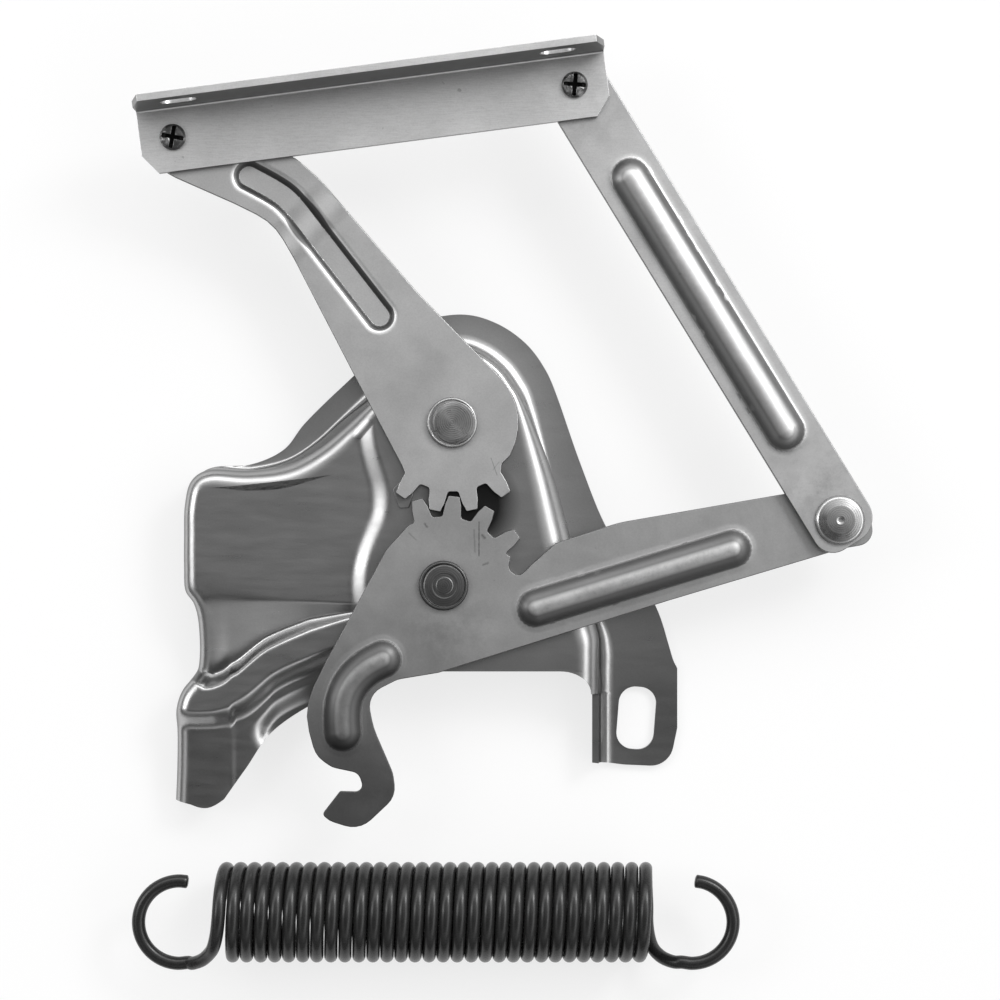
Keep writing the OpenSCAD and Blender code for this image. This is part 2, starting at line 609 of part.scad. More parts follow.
// Lower arm, drawn with its gear pivot at 0 and its link pivot on X
lower_first_tooth = gear_line - mesh_turn - tooth_step - lower_arm_rest;
lower_teeth = [for (k = [-1:2]) each [for (p = [len(tooth(0)) - 1:-1:0]) tooth(lower_first_tooth + k * tooth_step)[p]]];
notch = [29.3, 3.4];
notch_r = 3.7;
lower_outline = concat(
    lower_teeth,
    [[-9.5, 25.2, 3], [-19.5, 17.4, 12], [-50, -22, 30], [-61.5, -38, 26], [-59.6, -57, 20], [-54, -62.4, 8],
        [-44.3, -66.2, 4], [-43.2, -73.8, 3.6], [-52.6, -72, 1], [-60.8, -79.6, 1.5], [-58.5, -82.6, 8],
        [-47.5, -88.2, 14], [-31.5, -77.5, 14], [-31.2, -68.5, 12], [-35.8, -50, 30], [-36.2, -37, 9],
        [-23.5, -33, 10], [-7.5, -33, 10], [85.4, -19.9, 90], [lower_arm_length, -arm_end_r + 1.3, 12],
        [lower_arm_length + arm_end_r, -arm_end_r + 1.3, 11], [lower_arm_length + arm_end_r, arm_end_r, arm_end_r],
        [lower_arm_length - 16, 13.4, 30], [71, 12.9, 40], [45.5, 9.1, 8], [34.8, 2.4, 0]],
    [[notch[0] + 3.4, notch[1] - 2.6, 0], [notch[0], notch[1] - notch_r - 1, notch_r - 0.6],
        [notch[0] - notch_r, notch[1] - 1.5, notch_r - 0.6], [notch[0] - 2, notch[1] + 3.4, 0]]);
tail_path = [[-27.8, -24.2], [-33.4, -26], [-38.6, -29], [-42.8, -33.2], [-45.6, -38.4], [-47, -44], [-47.6, -49.6]];
lower_bead_path = [[33.8, -14.4], [112.4, -4.2]];
module lower_arm() {
    color("darkgray")
        translate([lower_pivot[0], lower_pivot[1], 0]) rotate([0, 0, lower_arm_rest])
            difference() {
                union() {
                    plate(lower_outline, arm_back, arm_face);
                    bead(lower_bead_path, bead_half - 0.6, bead_rise - 0.3, arm_face);
                    bead(tail_path, bead_half - 0.6, bead_rise - 0.3, arm_face);
                }
                bead(lower_bead_path, bead_half - 2.4, bead_rise - 0.8, arm_back);
                bead(tail_path, bead_half - 2.4, bead_rise - 0.8, arm_back);
                bore(rivet_r + pin_gap);
                bore(rivet_r, lower_arm_length);
            }
}

// Link rivet, fixed in the lower arm
link_seat = link_face + face_gap;
link_grip = link_seat - arm_back + washer_sheet;
module link_pivot_rivet() {
    color("silver") translate(link_pivot) rivet(link_seat, link_grip, tail_r, tail_h);
}
module link_pivot_spacer() {
    color("gray") translate(link_pivot) ring(rivet_r, 1.7 * rivet_r, arm_face, arm_face + spacer_sheet);
}
module link_pivot_washer() {
    color("gray") translate(link_pivot) ring(rivet_r, washer_r, arm_back - washer_sheet, arm_back);
}

// Front link, drawn with the lower arm's pivot at 0 and the rail's on X
link_outline = [[-10.6, link_half, 8], [-10.6, -link_half, 10], [link_length + link_half, -link_half, link_half],
    [link_length + link_half, link_half, link_half]];
link_bead_path = [[40.4, 0], [154.4, 0]];
module front_link() {
    color("darkgray")
        translate([link_pivot[0], link_pivot[1], 0]) rotate([0, 0, link_rest])
            difference() {
                union() {
                    plate(link_outline, link_back, link_face);
                    bead(link_bead_path, bead_half, bead_rise, link_face);
                }
                bead(link_bead_path, bead_half - 2, bead_rise - 0.5, link_back);
                bore(rivet_r + pin_gap);
                bore(screw_r + 0.4, link_length);
            }
}

// Bonnet rail, drawn with its rear screw at 0 and its front screw on X
bend_r = rail_sheet + 1;
rail_length = rail_rear + rail_pitch + rail_front;
flange_taper = 3.8;
taper_start = 10;
function rail_section() = concat(
    [[-web_below, web_back]],
    [for (a = [-90:15:0]) [web_above - bend_r, web_back + bend_r] + bend_r * heading(a)],
    [[web_above, flange_top], [web_above - rail_sheet, flange_top]],
    [for (a = [0:-15:-90]) [web_above - bend_r, web_back + bend_r] + (bend_r - rail_sheet) * heading(a)],
    [[-web_below, web_face]]);
module rail_slot(x) {
    translate([x, web_above + 1, (web_face + flange_top) / 2 + 1]) rotate([90, 0, 0])
        linear_extrude(height = rail_sheet + 2) polygon(rounded([for (s = [[1, 1], [-1, 1], [-1, -1], [1, -1]])
            [s[0] * rail_slot_length / 2, s[1] * rail_slot_width / 2, rail_slot_width / 2]]));
}
module bonnet_rail() {
    color("silver")
        translate([rear_pivot[0], rear_pivot[1], 0]) rotate([0, 0, rail_rest])
            difference() {
                translate([-rail_rear, 0, 0]) rotate([90, 0, 90])
                    linear_extrude(height = rail_length) polygon(rail_section());
                for (end = [0, 1])
                    translate([end * rail_pitch, 0, 0]) mirror([end, 0, 0]) {
                        plate([[-rail_rear - 1, -web_below - 1, 0], [-rail_rear + 6.5, -web_below - 1, 0],
                            [-rail_rear, -web_below + 7.4, 0], [-rail_rear - 1, -web_below + 8.4, 0]], 0, flange_top + 1);
                        translate([0, web_above + 1, 0]) rotate([90, 0, 0])
                            linear_extrude(height = rail_sheet + 4)
                                polygon([[-rail_rear - 1, web_face + taper_start], [-rail_rear, web_face + taper_start],
                                    [-rail_rear + flange_taper, flange_top + 1], [-rail_rear - 1, flange_top + 1]]);
                    }
                rail_slot(rail_slot_inset - rail_rear);
                rail_slot(rail_pitch + rail_front - rail_slot_inset);
                bore(screw_r);
                bore(screw_r, rail_pitch);
            }
}

// Cross-recess screws: the rear one is the arm's pivot, the front one ends at the web's back
module screw(length) {
    difference() {
        rotate_extrude() polygon([[0, web_face - length], [screw_r, web_face - length], [screw_r, web_face],
            [screw_head_r, web_face], [screw_head_r, web_face + 0.5 * screw_head_h],
            [0.8 * screw_head_r, web_face + 0.85 * screw_head_h], [0.4 * screw_head_r, web_face + screw_head_h],
            [0, web_face + screw_head_h]]);
        for (a = [0, 90])
            translate([0, 0, web_face + screw_head_h]) rotate([0, 0, a + 40])
                cube([1.15 * screw_head_r, 0.26 * screw_head_r, 1.2 * screw_head_h], center = true);
    }
}
module nut(top) {
    translate([0, 0, top - nut_h])
        difference() {
            cylinder(r = nut_flats / 2 / cos(30), h = nut_h, $fn = 6);
            translate([0, 0, -1]) cylinder(r = screw_r, h = nut_h + 2);
        }
}
nut_washer_sheet = 1.2;
nut_washer_r = 7;
high_back = arm_back + joggle;
rear_washer_top = high_back - face_gap;
module rear_rail_screw() {
    color("dimgray") translate(rear_pivot)
        screw(web_face - rear_washer_top + nut_washer_sheet + nut_h + 1);
}
module rear_rail_washer() {
    color("gray") translate(rear_pivot)
        ring(screw_r, nut_washer_r, rear_washer_top - nut_washer_sheet, rear_washer_top);
}
module rear_rail_nut() {
    color("gray") translate(rear_pivot) nut(rear_washer_top - nut_washer_sheet);
}
module front_rail_screw() {
    color("dimgray") translate(front_pivot) screw(rail_sheet);
}
module front_rail_washer() {
    color("gray") translate(front_pivot) ring(screw_r + 0.4, nut_washer_r, link_back - nut_washer_sheet, link_back);
}
module front_rail_nut() {
    color("gray") translate(front_pivot) nut(link_back - nut_washer_sheet);
}

// Counterbalance spring, lying on the plane of the mounting faces
spring_middle = [-78.9, -74.3];
coil_r = (spring_od - spring_wire) / 2;
coil_length = (spring_turns - 1) * spring_pitch;
wire_r = spring_wire / 2;
wire_sides = 6;
axis_height = coil_r + wire_r;
coil_steps = 14;
hook_axis_r = hook_r - wire_r;
hook_centre = coil_length / 2 + 18;
// Point of the coil a number of turns past the top of its left end, and the way out from its axis
function coil_point(turn) =
    let (
        a = 360 * turn,
        p = [-coil_length / 2 + spring_pitch * turn, coil_r * cos(a), -coil_r * sin(a)]
    )
    [p, [0, p[1], p[2]]];
coil = [for (k = [-coil_steps / 4:coil_steps * (spring_turns - 1) + coil_steps / 4]) coil_point(k / coil_steps)];
hook_lift = 3.9;
// Hook in the plane of the axis, from below the coil round to its tip
function hook_arc(from, to, count) = [for (k = [0:count]) let (a = lerp(from, to, k / count))
    [hook_centre + hook_axis_r * cos(a), -hook_lift + hook_axis_r * sin(a), 0]];
// Way from the coil to the hook, past the coil's end
left_neck = [[2.2, -6.4, 15.4], [3.7, -11.7, 12], [5.6, -14.8, 8.4], [8.8, -17.9, 4.6], [12.8, -19.7, 1.4]];
right_neck = [[1.3, -6.4, -15.6], [2, -12, -12], [3.6, -15.8, -8.2], [6.8, -18.4, -4.5], [11, -19.6, -1.3]];
right_hook = [for (p = concat([for (n = right_neck) [coil_length / 2 + n[0], n[1], n[2]]], hook_arc(256, 446, 13)))
    [p, [0, 0, -1]]];
left_side = concat([for (n = left_neck) [coil_length / 2 + n[0], n[1], n[2]]], hook_arc(258, 462, 14));
left_hook = [for (k = [len(left_side) - 1:-1:0])
    [[-left_side[k][0], left_side[k][1], left_side[k][2]], [0, 0, 1]]];
module wire(path) {
    n = len(path);
    ways = [for (k = [0:n - 1]) unit(path[min(n - 1, k + 1)][0] - path[max(0, k - 1)][0])];
    points = [for (k = [0:n - 1])
        let (
            side = unit(cross(ways[k], path[k][1])),
            up = cross(side, ways[k])
        )
        each [for (a = [0:360 / wire_sides:359]) path[k][0] + wire_r * (cos(a) * up + sin(a) * side)]];
    faces = concat(
        [for (k = [0:n - 2], s = [0:wire_sides - 1])
            let (
                a = k * wire_sides + s,
                b = k * wire_sides + (s + 1) % wire_sides
            ) each [[a, b + wire_sides, b], [a, a + wire_sides, b + wire_sides]]],
        [[for (s = [0:wire_sides - 1]) s]], [[for (s = [wire_sides - 1:-1:0]) (n - 1) * wire_sides + s]]);
    polyhedron(points, faces, convexity = 20);
}
module counterbalance_spring() {
    color("black")
        translate([spring_middle[0], spring_middle[1], axis_height]) wire(concat(left_hook, coil, right_hook));
}

base_bracket();
upper_pivot_rivet();
upper_pivot_spacer();
upper_pivot_washer();
lower_pivot_rivet();
lower_pivot_spacer();
lower_pivot_washer();
upper_arm();
lower_arm();
link_pivot_rivet();
link_pivot_spacer();
link_pivot_washer();
front_link();
front_rail_washer();
front_rail_nut();
bonnet_rail();
rear_rail_screw();
rear_rail_washer();
rear_rail_nut();
front_rail_screw();
counterbalance_spring();
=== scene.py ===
"""Looks of a geared car bonnet hinge and its counterbalance spring, lying on a pale floor and seen from above.

Lengths are in millimetres up to the point where a mesh is made, and then in metres.
"""

import json
import math

import bmesh
import bpy
import numpy as np
from mathutils import Matrix, Vector
from mathutils.geometry import delaunay_2d_cdt

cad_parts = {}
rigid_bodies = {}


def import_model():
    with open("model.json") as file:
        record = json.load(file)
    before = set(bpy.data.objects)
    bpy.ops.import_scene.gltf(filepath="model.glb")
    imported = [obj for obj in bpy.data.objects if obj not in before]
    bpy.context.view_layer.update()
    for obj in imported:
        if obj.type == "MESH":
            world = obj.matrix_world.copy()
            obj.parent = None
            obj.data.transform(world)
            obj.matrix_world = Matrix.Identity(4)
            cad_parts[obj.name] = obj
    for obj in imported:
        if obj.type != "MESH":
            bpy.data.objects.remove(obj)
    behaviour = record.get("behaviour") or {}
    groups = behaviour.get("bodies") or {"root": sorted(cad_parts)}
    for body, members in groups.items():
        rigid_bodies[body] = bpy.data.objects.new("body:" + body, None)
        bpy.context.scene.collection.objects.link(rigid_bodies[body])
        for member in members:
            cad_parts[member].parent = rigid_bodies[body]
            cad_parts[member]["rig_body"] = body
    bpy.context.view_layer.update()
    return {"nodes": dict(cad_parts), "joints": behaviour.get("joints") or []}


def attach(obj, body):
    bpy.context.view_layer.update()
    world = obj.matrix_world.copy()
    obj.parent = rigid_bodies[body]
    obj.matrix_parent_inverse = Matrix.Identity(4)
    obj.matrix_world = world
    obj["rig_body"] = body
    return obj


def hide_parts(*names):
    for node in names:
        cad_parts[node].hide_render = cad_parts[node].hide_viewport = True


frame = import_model()
MM = 0.001
JOINT = {j["name"]: np.array(j["pos_m"]) * 1000 for j in frame["joints"]}

# Pivots in plan, and the angles of the arms, the link and the rail at rest
LOWER = JOINT["lower_arm_pivot"][:2]
UPPER = JOINT["upper_arm_pivot"][:2]
LINK = JOINT["link_pivot"][:2]
REAR = JOINT["rail_pivot"][:2]
FRONT = np.array([-25.2514, 245.4937])
PLATEAU = 24.0
SHEET = 2.5
ARM_FACE = 28.35
RECESS_FLOOR = 36.6


def add_object(name, data):
    obj = bpy.data.objects.new(name, data)
    bpy.context.scene.collection.objects.link(obj)
    return obj


# Camera
camera_data = bpy.data.cameras.new("camera")
camera_data.sensor_width = 36
camera_data.lens = 101.53
camera_data.clip_start = 0.05
camera_data.clip_end = 20
camera = add_object("camera", camera_data)
camera.location = (-0.05391, 0.08622, 1.118)
bpy.context.scene.camera = camera
bpy.context.scene.view_settings.view_transform = "Standard"


# Materials
def add_node(tree, kind, inputs=(), output=0, **settings):
    """An output of a new shader node, whose inputs are linked or set."""
    node = tree.nodes.new("ShaderNode" + kind)
    for key, value in settings.items():
        setattr(node, key, value)
    for key, value in dict(inputs).items():
        if isinstance(value, bpy.types.NodeSocket):
            tree.links.new(value, node.inputs[key])
        else:
            node.inputs[key].default_value = value
    return node.outputs[output]


class Nodes:
    """Short names for the nodes of one material."""

    def __init__(self, name):
        self.material = bpy.data.materials.new(name)
        self.material.use_nodes = True
        self.tree = self.material.node_tree
        self.bsdf = self.tree.nodes["Principled BSDF"]
        self.coords = self.add("TexCoord", output="Object")

    def add(self, kind, inputs=(), output=0, **settings):
        return add_node(self.tree, kind, inputs, output, **settings)

    def noise(self, scale, detail, roughness, stretch=None, turn=0.0, distortion=0.0):
        where = self.coords
        if stretch:
            where = self.add("Mapping", {"Vector": where, "Scale": stretch, "Rotation": (0, 0, turn)})
        return self.add("TexNoise", {"Vector": where, "Scale": scale, "Detail": detail, "Roughness": roughness,
                                     "Distortion": distortion})

    def ramp(self, value, *stops):
        output = self.add("ValToRGB", {"Fac": value})
        for element, (place, grey) in zip(output.node.color_ramp.elements, stops):
            element.position = place
            element.color = (grey, grey, grey, 1)
        return output

    def shade(self, value, tone, low, high):
        """The tone times low where a noise is weak, and times high where it is strong."""
        return self.ramp(value, (0.3, tone * low), (0.7, tone * high))

    def between(self, value, low, high, **settings):
        """0 at low and 1 at high."""
        return self.add("MapRange", {"Value": value, "From Min": low, "From Max": high}, clamp=True, **settings)

    def math(self, operation, a, b=0.0, **settings):
        return self.add("Math", {0: a, 1: b}, operation=operation, **settings)

    def times(self, a, b):
        return self.math("MULTIPLY", a, b)

    def vector(self, operation, a, b, output=0):
        return self.add("VectorMath", {0: a, 1: b}, output, operation=operation)

    def height(self):
        return self.add("SeparateXYZ", {0: self.coords}, "Z")

    def mix(self, factor, a, b):
        a, b = [v if isinstance(v, bpy.types.NodeSocket) else (v, v, v, 1) for v in (a, b)]
        return self.add("Mix", {0: factor, 6: a, 7: b}, 2, data_type="RGBA")

    def finish(self, colour, roughness, *bumps, metallic=1.0):
        """The material, from its colour, its roughness and its bumps: height, strength and distance."""
        links = self.tree.links
        links.new(colour, self.bsdf.inputs["Base Color"])
        links.new(roughness, self.bsdf.inputs["Roughness"])
        normal = {}
        for height, strength, distance in bumps:
            layer = {"Height": height, "Strength": strength, "Distance": distance}
            normal = {"Normal": self.add("Bump", {**layer, **normal})}
        links.new(normal["Normal"], self.bsdf.inputs["Normal"])
        self.bsdf.inputs["Metallic"].default_value = metallic
        return self.material


def plan_offset(n, point):
    """The way in plan from a point."""
    return n.vector("MULTIPLY", n.vector("SUBTRACT", n.coords, (*[c * MM for c in point], 0)), (1, 1, 0))


def radius_from(n, centre):
    """Distance in plan from an upright axis."""
    return n.add("VectorMath", {0: plan_offset(n, centre)}, "Value", operation="LENGTH")


def near(n, centre, inner, outer):
    """1 within inner of a point in plan, 0 beyond outer, in millimetres."""
    return n.between(radius_from(n, centre), outer * MM, inner * MM)


def scratch(n, start, end, half):
    """1 on a straight scratch in plan between two points, 0 beside it, with a ragged edge."""
    way = np.subtract(end, start) * MM
    offset = plan_offset(n, start)
    along = n.vector("DOT_PRODUCT", offset, (*(way / (way @ way)), 0), "Value")
    share = n.math("ADD", along, use_clamp=True)
    point = n.add("VectorMath", {0: (*way, 0), "Scale": share}, operation="SCALE")
    gap = n.vector("DISTANCE", offset, point, "Value")
    return n.between(gap, n.times(n.noise(700, 3, 0.7), 2 * half * MM), 0.0)


def upright_part(n, flat, steep):
    """0 where the surface lies flat, 1 where it stands steep, by the z of its own normal."""
    z = n.add("SeparateXYZ", {0: n.add("NewGeometry", output="Normal")}, "Z")
    return n.between(z, flat, steep, interpolation_type="SMOOTHSTEP")


def spots(n, colour, places, shade, patch=None):
    """The colour taken to another shade at some places: centre, inner and outer radius, strength. A patch,
    made of a noise and the stops of its ramp, lets only a part of it through."""
    for centre, inner, outer, strength in places:
        share = near(n, centre, inner, outer)
        if patch:
            share = n.times(share, n.ramp(n.noise(*patch[0]), *patch[1:]))
        colour = n.mix(n.times(share, strength), colour, shade)
    return colour


def zinc(name, tone, mottle=0.06, stains_and_shade=(), scratches=(), grain_turn=0.0, rough=0.4, lines=0.0, crest_highlight=None,
         steep_shade=(0.997, 0.93, 0.8), dark=(), painted_highlights=()):
    """Satin zinc plate: fine speckle, soft clouds, faint rolling lines, small pits, patchy grime round some
    places, scratches, places taken darker as painted shade or lighter as painted highlights, painted shade on
    its bends and steep faces, and a painted highlight along a bead's top between two heights."""
    n = Nodes(name)
    speckle = n.noise(1500, 3, 0.7)
    clouds = n.noise(34, 5, 0.62)
    patches = n.noise(260, 4, 0.65)
    colour = n.shade(clouds, tone, 1 - mottle, 1 + mottle)
    colour = n.mix(0.35, colour, n.shade(patches, tone, 1 - 2.2 * mottle, 1 + 2.2 * mottle))
    colour = n.mix(0.25, colour, n.shade(speckle, tone, 0.72, 1.2))
    if lines:
        drawn = n.noise(240, 3, 0.6, (1, 10, 1), grain_turn)
        colour = n.mix(lines, colour, n.ramp(drawn, (0.35, tone * 0.6), (0.65, tone * 1.3)))
    colour = n.mix(n.ramp(n.noise(210, 2, 0.5), (0.75, 0.0), (0.79, 0.5)), colour, tone * 0.45)
    colour = spots(n, colour, stains_and_shade, tone * 0.3, ((130, 6, 0.72), (0.42, 0.0), (0.6, 1.0)))
    for start, end, half, strength in scratches:
        colour = n.mix(n.times(scratch(n, start, end, half), strength), colour, tone * 0.15)
    # Painted highlight: a bead's top between two heights is taken lighter, broken up by a grainy noise.
    if crest_highlight:
        crest_highlight_grain = n.ramp(n.noise(330, 5, 0.7), (0.3, 0.25), (0.6, 1.0))
        top = n.between(n.height(), crest_highlight[0] * MM, crest_highlight[1] * MM)
        colour = n.mix(n.times(top, crest_highlight_grain), colour, min(1, tone * 1.5))
    # Painted highlights: the given places are taken towards white through a patchy mask.
    colour = spots(n, colour, painted_highlights, 1.0, ((150, 5, 0.7), (0.3, 0.3), (0.62, 1.0)))
    # Painted shade: the given places are taken darker as a whole.
    colour = spots(n, colour, dark, tone * 0.1)
    # Painted shade: bends and steep faces are taken darker by the z of their own normal.
    colour = n.mix(n.times(upright_part(n, steep_shade[0], steep_shade[1]), steep_shade[2]), colour, tone * 0.1)
    return n.finish(colour, n.ramp(clouds, (0.3, rough + 0.04), (0.7, rough - 0.04)),
                    (speckle, 0.25, 0.00003), (patches, 0.12, 0.00006), (clouds, 0.2, 0.0003))


def pressed_steel(name, tone, rough=0.36, stains_and_shade=()):
    """Smooth satin sheet with soft clouds and faint streaks from the press, painted shade on its steep walls,
    and painted shade at given places.
    """
    n = Nodes(name)
    clouds = n.noise(22, 4, 0.55, distortion=0.4)
    streaks = n.noise(60, 4, 0.6, (1, 5, 1), 0.5)
    fine = n.noise(1500, 2, 0.6)
    colour = n.mix(0.3, n.shade(clouds, tone, 0.9, 1.08), n.shade(streaks, tone, 0.85, 1.12))
    colour = n.mix(0.12, colour, n.shade(fine, tone, 0.6, 1.3))
    # Painted shade: steep walls are taken darker by the z of their own normal.
    colour = n.mix(n.times(upright_part(n, 0.72, 0.3), 0.82), colour, tone * 0.12)
    # Painted shade and shadow at the given places, taken almost black.
    colour = spots(n, colour, stains_and_shade, tone * 0.03)
    return n.finish(colour, n.ramp(streaks, (0.3, rough + 0.03), (0.7, rough - 0.03)),
                    (fine, 0.1, 0.00002), (clouds, 0.06, 0.0005))


def turned_steel(name, tone, rough, centre, rings, grime, anisotropic=0.0):
    """Steel with the fine rings that a tool leaves round a centre, and painted shade on its steep sides."""
    n = Nodes(name)
    wave = n.math("SINE", n.times(radius_from(n, centre), 2 * math.pi / 0.0008))
    line = n.times(n.math("ADD", n.times(wave, 0.5), 0.5), n.noise(420, 3, 0.6))
    dirt = n.noise(260, 5, 0.65)
    colour = n.mix(0.5, n.ramp(line, (0.0, tone * 0.75), (0.7, tone * 1.25)),
                   n.ramp(dirt, (0.35, tone * (1 - grime)), (0.65, tone * 1.2)))
    # Painted shade: steep sides are taken darker by the z of their own normal.
    colour = n.mix(n.times(upright_part(n, 0.9, 0.3), 0.8), colour, tone * 0.15)
    if anisotropic:
        n.bsdf.inputs["Anisotropic"].default_value = anisotropic
        tangent = n.add("Tangent", direction_type="RADIAL", axis="Z")
        n.tree.links.new(tangent, n.bsdf.inputs["Tangent"])
    return n.finish(colour, n.ramp(dirt, (0.35, rough + 0.06), (0.65, rough - 0.05)),
                    (wave, rings, 0.00003), (dirt, 0.2, 0.00005))


def black_finish(name, tone, rough):
    """Black oxide or phosphate, oiled, with a fine tooth and greyer worn places."""
    n = Nodes(name)
    n.bsdf.inputs["IOR"].default_value = 1.45
    fine = n.noise(1400, 4, 0.7)
    wear = n.ramp(n.noise(160, 5, 0.7), (0.45, 0.0), (0.8, 0.5))
    colour = n.mix(wear, n.shade(fine, tone, 0.7, 1.3), tone * 2.2)
    return n.finish(colour, n.ramp(fine, (0.3, rough + 0.06), (0.7, rough - 0.05)),
                    (fine, 0.2, 0.00002), metallic=0.0)


def screw_finish(name, tone, rough):
    """Worn dark plate on a screw's head, with painted shade that turns its recess black, and silver where a
    driver has worn it.
    """
    n = Nodes(name)
    fine = n.noise(900, 4, 0.7)
    wear = n.noise(230, 4, 0.7)
    colour = n.mix(n.ramp(wear, (0.52, 0.0), (0.66, 0.85)), n.shade(fine, tone, 0.7, 1.3), 0.6)
    # Painted shade: the recess floor inside each screw's head is taken black.
    low = n.between(n.height(), (RECESS_FLOOR + 0.9) * MM, (RECESS_FLOOR + 0.5) * MM)
    inner = n.math("MAXIMUM", near(n, REAR, 4.4, 4.5), near(n, FRONT, 4.4, 4.5))
    colour = n.mix(n.times(low, inner), colour, 0.004)
    return n.finish(colour, n.ramp(fine, (0.3, rough + 0.06), (0.7, rough - 0.05)),
                    (fine, 0.25, 0.00003), (wear, 0.3, 0.0001), metallic=0.9)


def on_arm(px, py):
    """Point in plan on the face of the gear arms that shows at this pixel of the photograph."""
    scale = (1118 - ARM_FACE) / 2820.2
    return (-53.91 + (px - 500) * scale, 86.22 - (py - 500) * scale)


def arm_scratches(*rows):
    """Scratches on the gear arms: start and end in the photograph's pixels, half width, strength."""
    return [(on_arm(*row[:2]), on_arm(*row[2:4]), *row[4:]) for row in rows]


# The base: a painted shadow, with grease, under the gear teeth, and painted shade over the ear.
BASE = pressed_steel("base_steel", 0.50, 0.30, [(on_arm(470, 505), 11, 20, 0.93), ((8, -2), 12, 55, 0.4)])
# Painted shade: the rest pad is a darker tone of the same steel, for the shade it lies in.
PAD_SHADED = pressed_steel("rest_pad_shaded_steel", 0.30, 0.45)
# The upper arm: strong painted shade on its sloping faces, such as the channel's shoulders.
UPPER_ZINC = zinc("upper_arm_zinc", 0.72, 0.03, steep_shade=(0.94, 0.9, 0.92),
                  scratches=arm_scratches([491, 458, 497, 475, 0.25, 0.5], [493, 470, 499, 462, 0.3, 0.3]))
# The lower arm: painted shade over its tail.
LOWER_ZINC = zinc("lower_arm_zinc", 0.53, 0.05,
                  [(on_arm(450, 630), 8, 30, 0.25), (on_arm(395, 800), 8, 45, 0.25)],
                  arm_scratches([479, 522, 479, 556, 0.28, 0.95], [474, 530, 475, 552, 0.5, 0.35],
                                [482, 535, 485, 538, 0.7, 0.6], [483, 565, 488, 563, 0.6, 0.5],
                                [425, 524, 427, 527, 0.7, 0.6], [409, 533, 416, 540, 0.4, 0.35],
                                [520, 512, 525, 558, 0.25, 0.3]),
                  rough=0.42, crest_highlight=(31.2, 31.8), dark=[(on_arm(340, 810), 20, 84, 0.75)])
# The link: painted highlights over its lower end and its middle.
LINK_ZINC = zinc("link_zinc", 0.84, 0.08, [((70, 92), 4, 34, 0.45), ((-22, 238), 6, 34, 0.3)], grain_turn=2.1,
                 rough=0.36, lines=0.06, crest_highlight=(35.4, 36.1),
                 painted_highlights=[((66, 100), 8, 42, 0.5), ((45, 140), 5, 40, 0.3)])
# The rail: strong painted shade on its steep faces, such as its flange and bend.
RAIL_ZINC = zinc("rail_zinc", 0.95, 0.05, [((-25, 245), 4, 40, 0.2)], grain_turn=1.7, rough=0.38, lines=0.14,
                 steep_shade=(0.9, 0.3, 0.9))
WASHER = zinc("washer_zinc", 0.5)
UPPER_RIVET = turned_steel("upper_rivet_steel", 0.42, 0.30, UPPER, 0.35, 0.45, 0.8)
LOWER_RIVET = turned_steel("lower_rivet_steel", 0.15, 0.38, LOWER, 0.2, 0.3)
LINK_RIVET = turned_steel("link_rivet_steel", 0.62, 0.26, LINK, 0.1, 0.35)
SCREW = screw_finish("screw_black", 0.13, 0.35)
SPRING = black_finish("spring_black", 0.016, 0.28)


# Mesh tools
def unit(v):
    return v / np.maximum(np.linalg.norm(v, axis=-1, keepdims=True), 1e-12)


def new_object(name, points, faces, material, normals=None):
    """A smooth-shaded mesh object from points in millimetres."""
    mesh = bpy.data.meshes.new(name)
    mesh.from_pydata([tuple(p) for p in np.asarray(points) * MM], [], [tuple(int(i) for i in f) for f in faces])
    mesh.validate()
    mesh.materials.append(material)
    mesh.shade_smooth()
    if normals is not None:
        mesh.normals_split_custom_set_from_vertices([tuple(n) for n in unit(np.asarray(normals))])
    return add_object(name, mesh)


def place(obj, body, slot, *nodes):
    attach(obj, body)
    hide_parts(*nodes)
    return obj


def apply_modifiers(obj):
    bpy.context.view_layer.update()
    evaluated = obj.evaluated_get(bpy.context.evaluated_depsgraph_get())
    mesh = bpy.data.meshes.new_from_object(evaluated)
    obj.modifiers.clear()
    obj.data = mesh


def bevel(obj, width, segments, angle):
    modifier = obj.modifiers.new("bevel", "BEVEL")
    modifier.width = width * MM
    modifier.segments = segments
    modifier.limit_method = "ANGLE"
    modifier.angle_limit = math.radians(angle)
    return modifier


def dressed(node, material, slot, width=0.3, segments=3):
    """A copy of a CAD node whose sharp edges are broken by a small round."""
    source = frame["nodes"][node]
    mesh = source.data.copy()
    mesh.materials.clear()
    mesh.materials.append(material)
    work = bmesh.new()
    work.from_mesh(mesh)
    bmesh.ops.remove_doubles(work, verts=work.verts, dist=2e-6)
    bmesh.ops.dissolve_limit(work, angle_limit=math.radians(0.6), verts=work.verts, edges=work.edges)
    work.to_mesh(mesh)
    work.free()
    mesh.shade_smooth()
    obj = add_object(node + "_skin", mesh)
    bevel(obj, width, segments, 25)
    obj.modifiers.new("normals", "WEIGHTED_NORMAL")
    apply_modifiers(obj)
    return place(obj, source["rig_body"], slot, node)


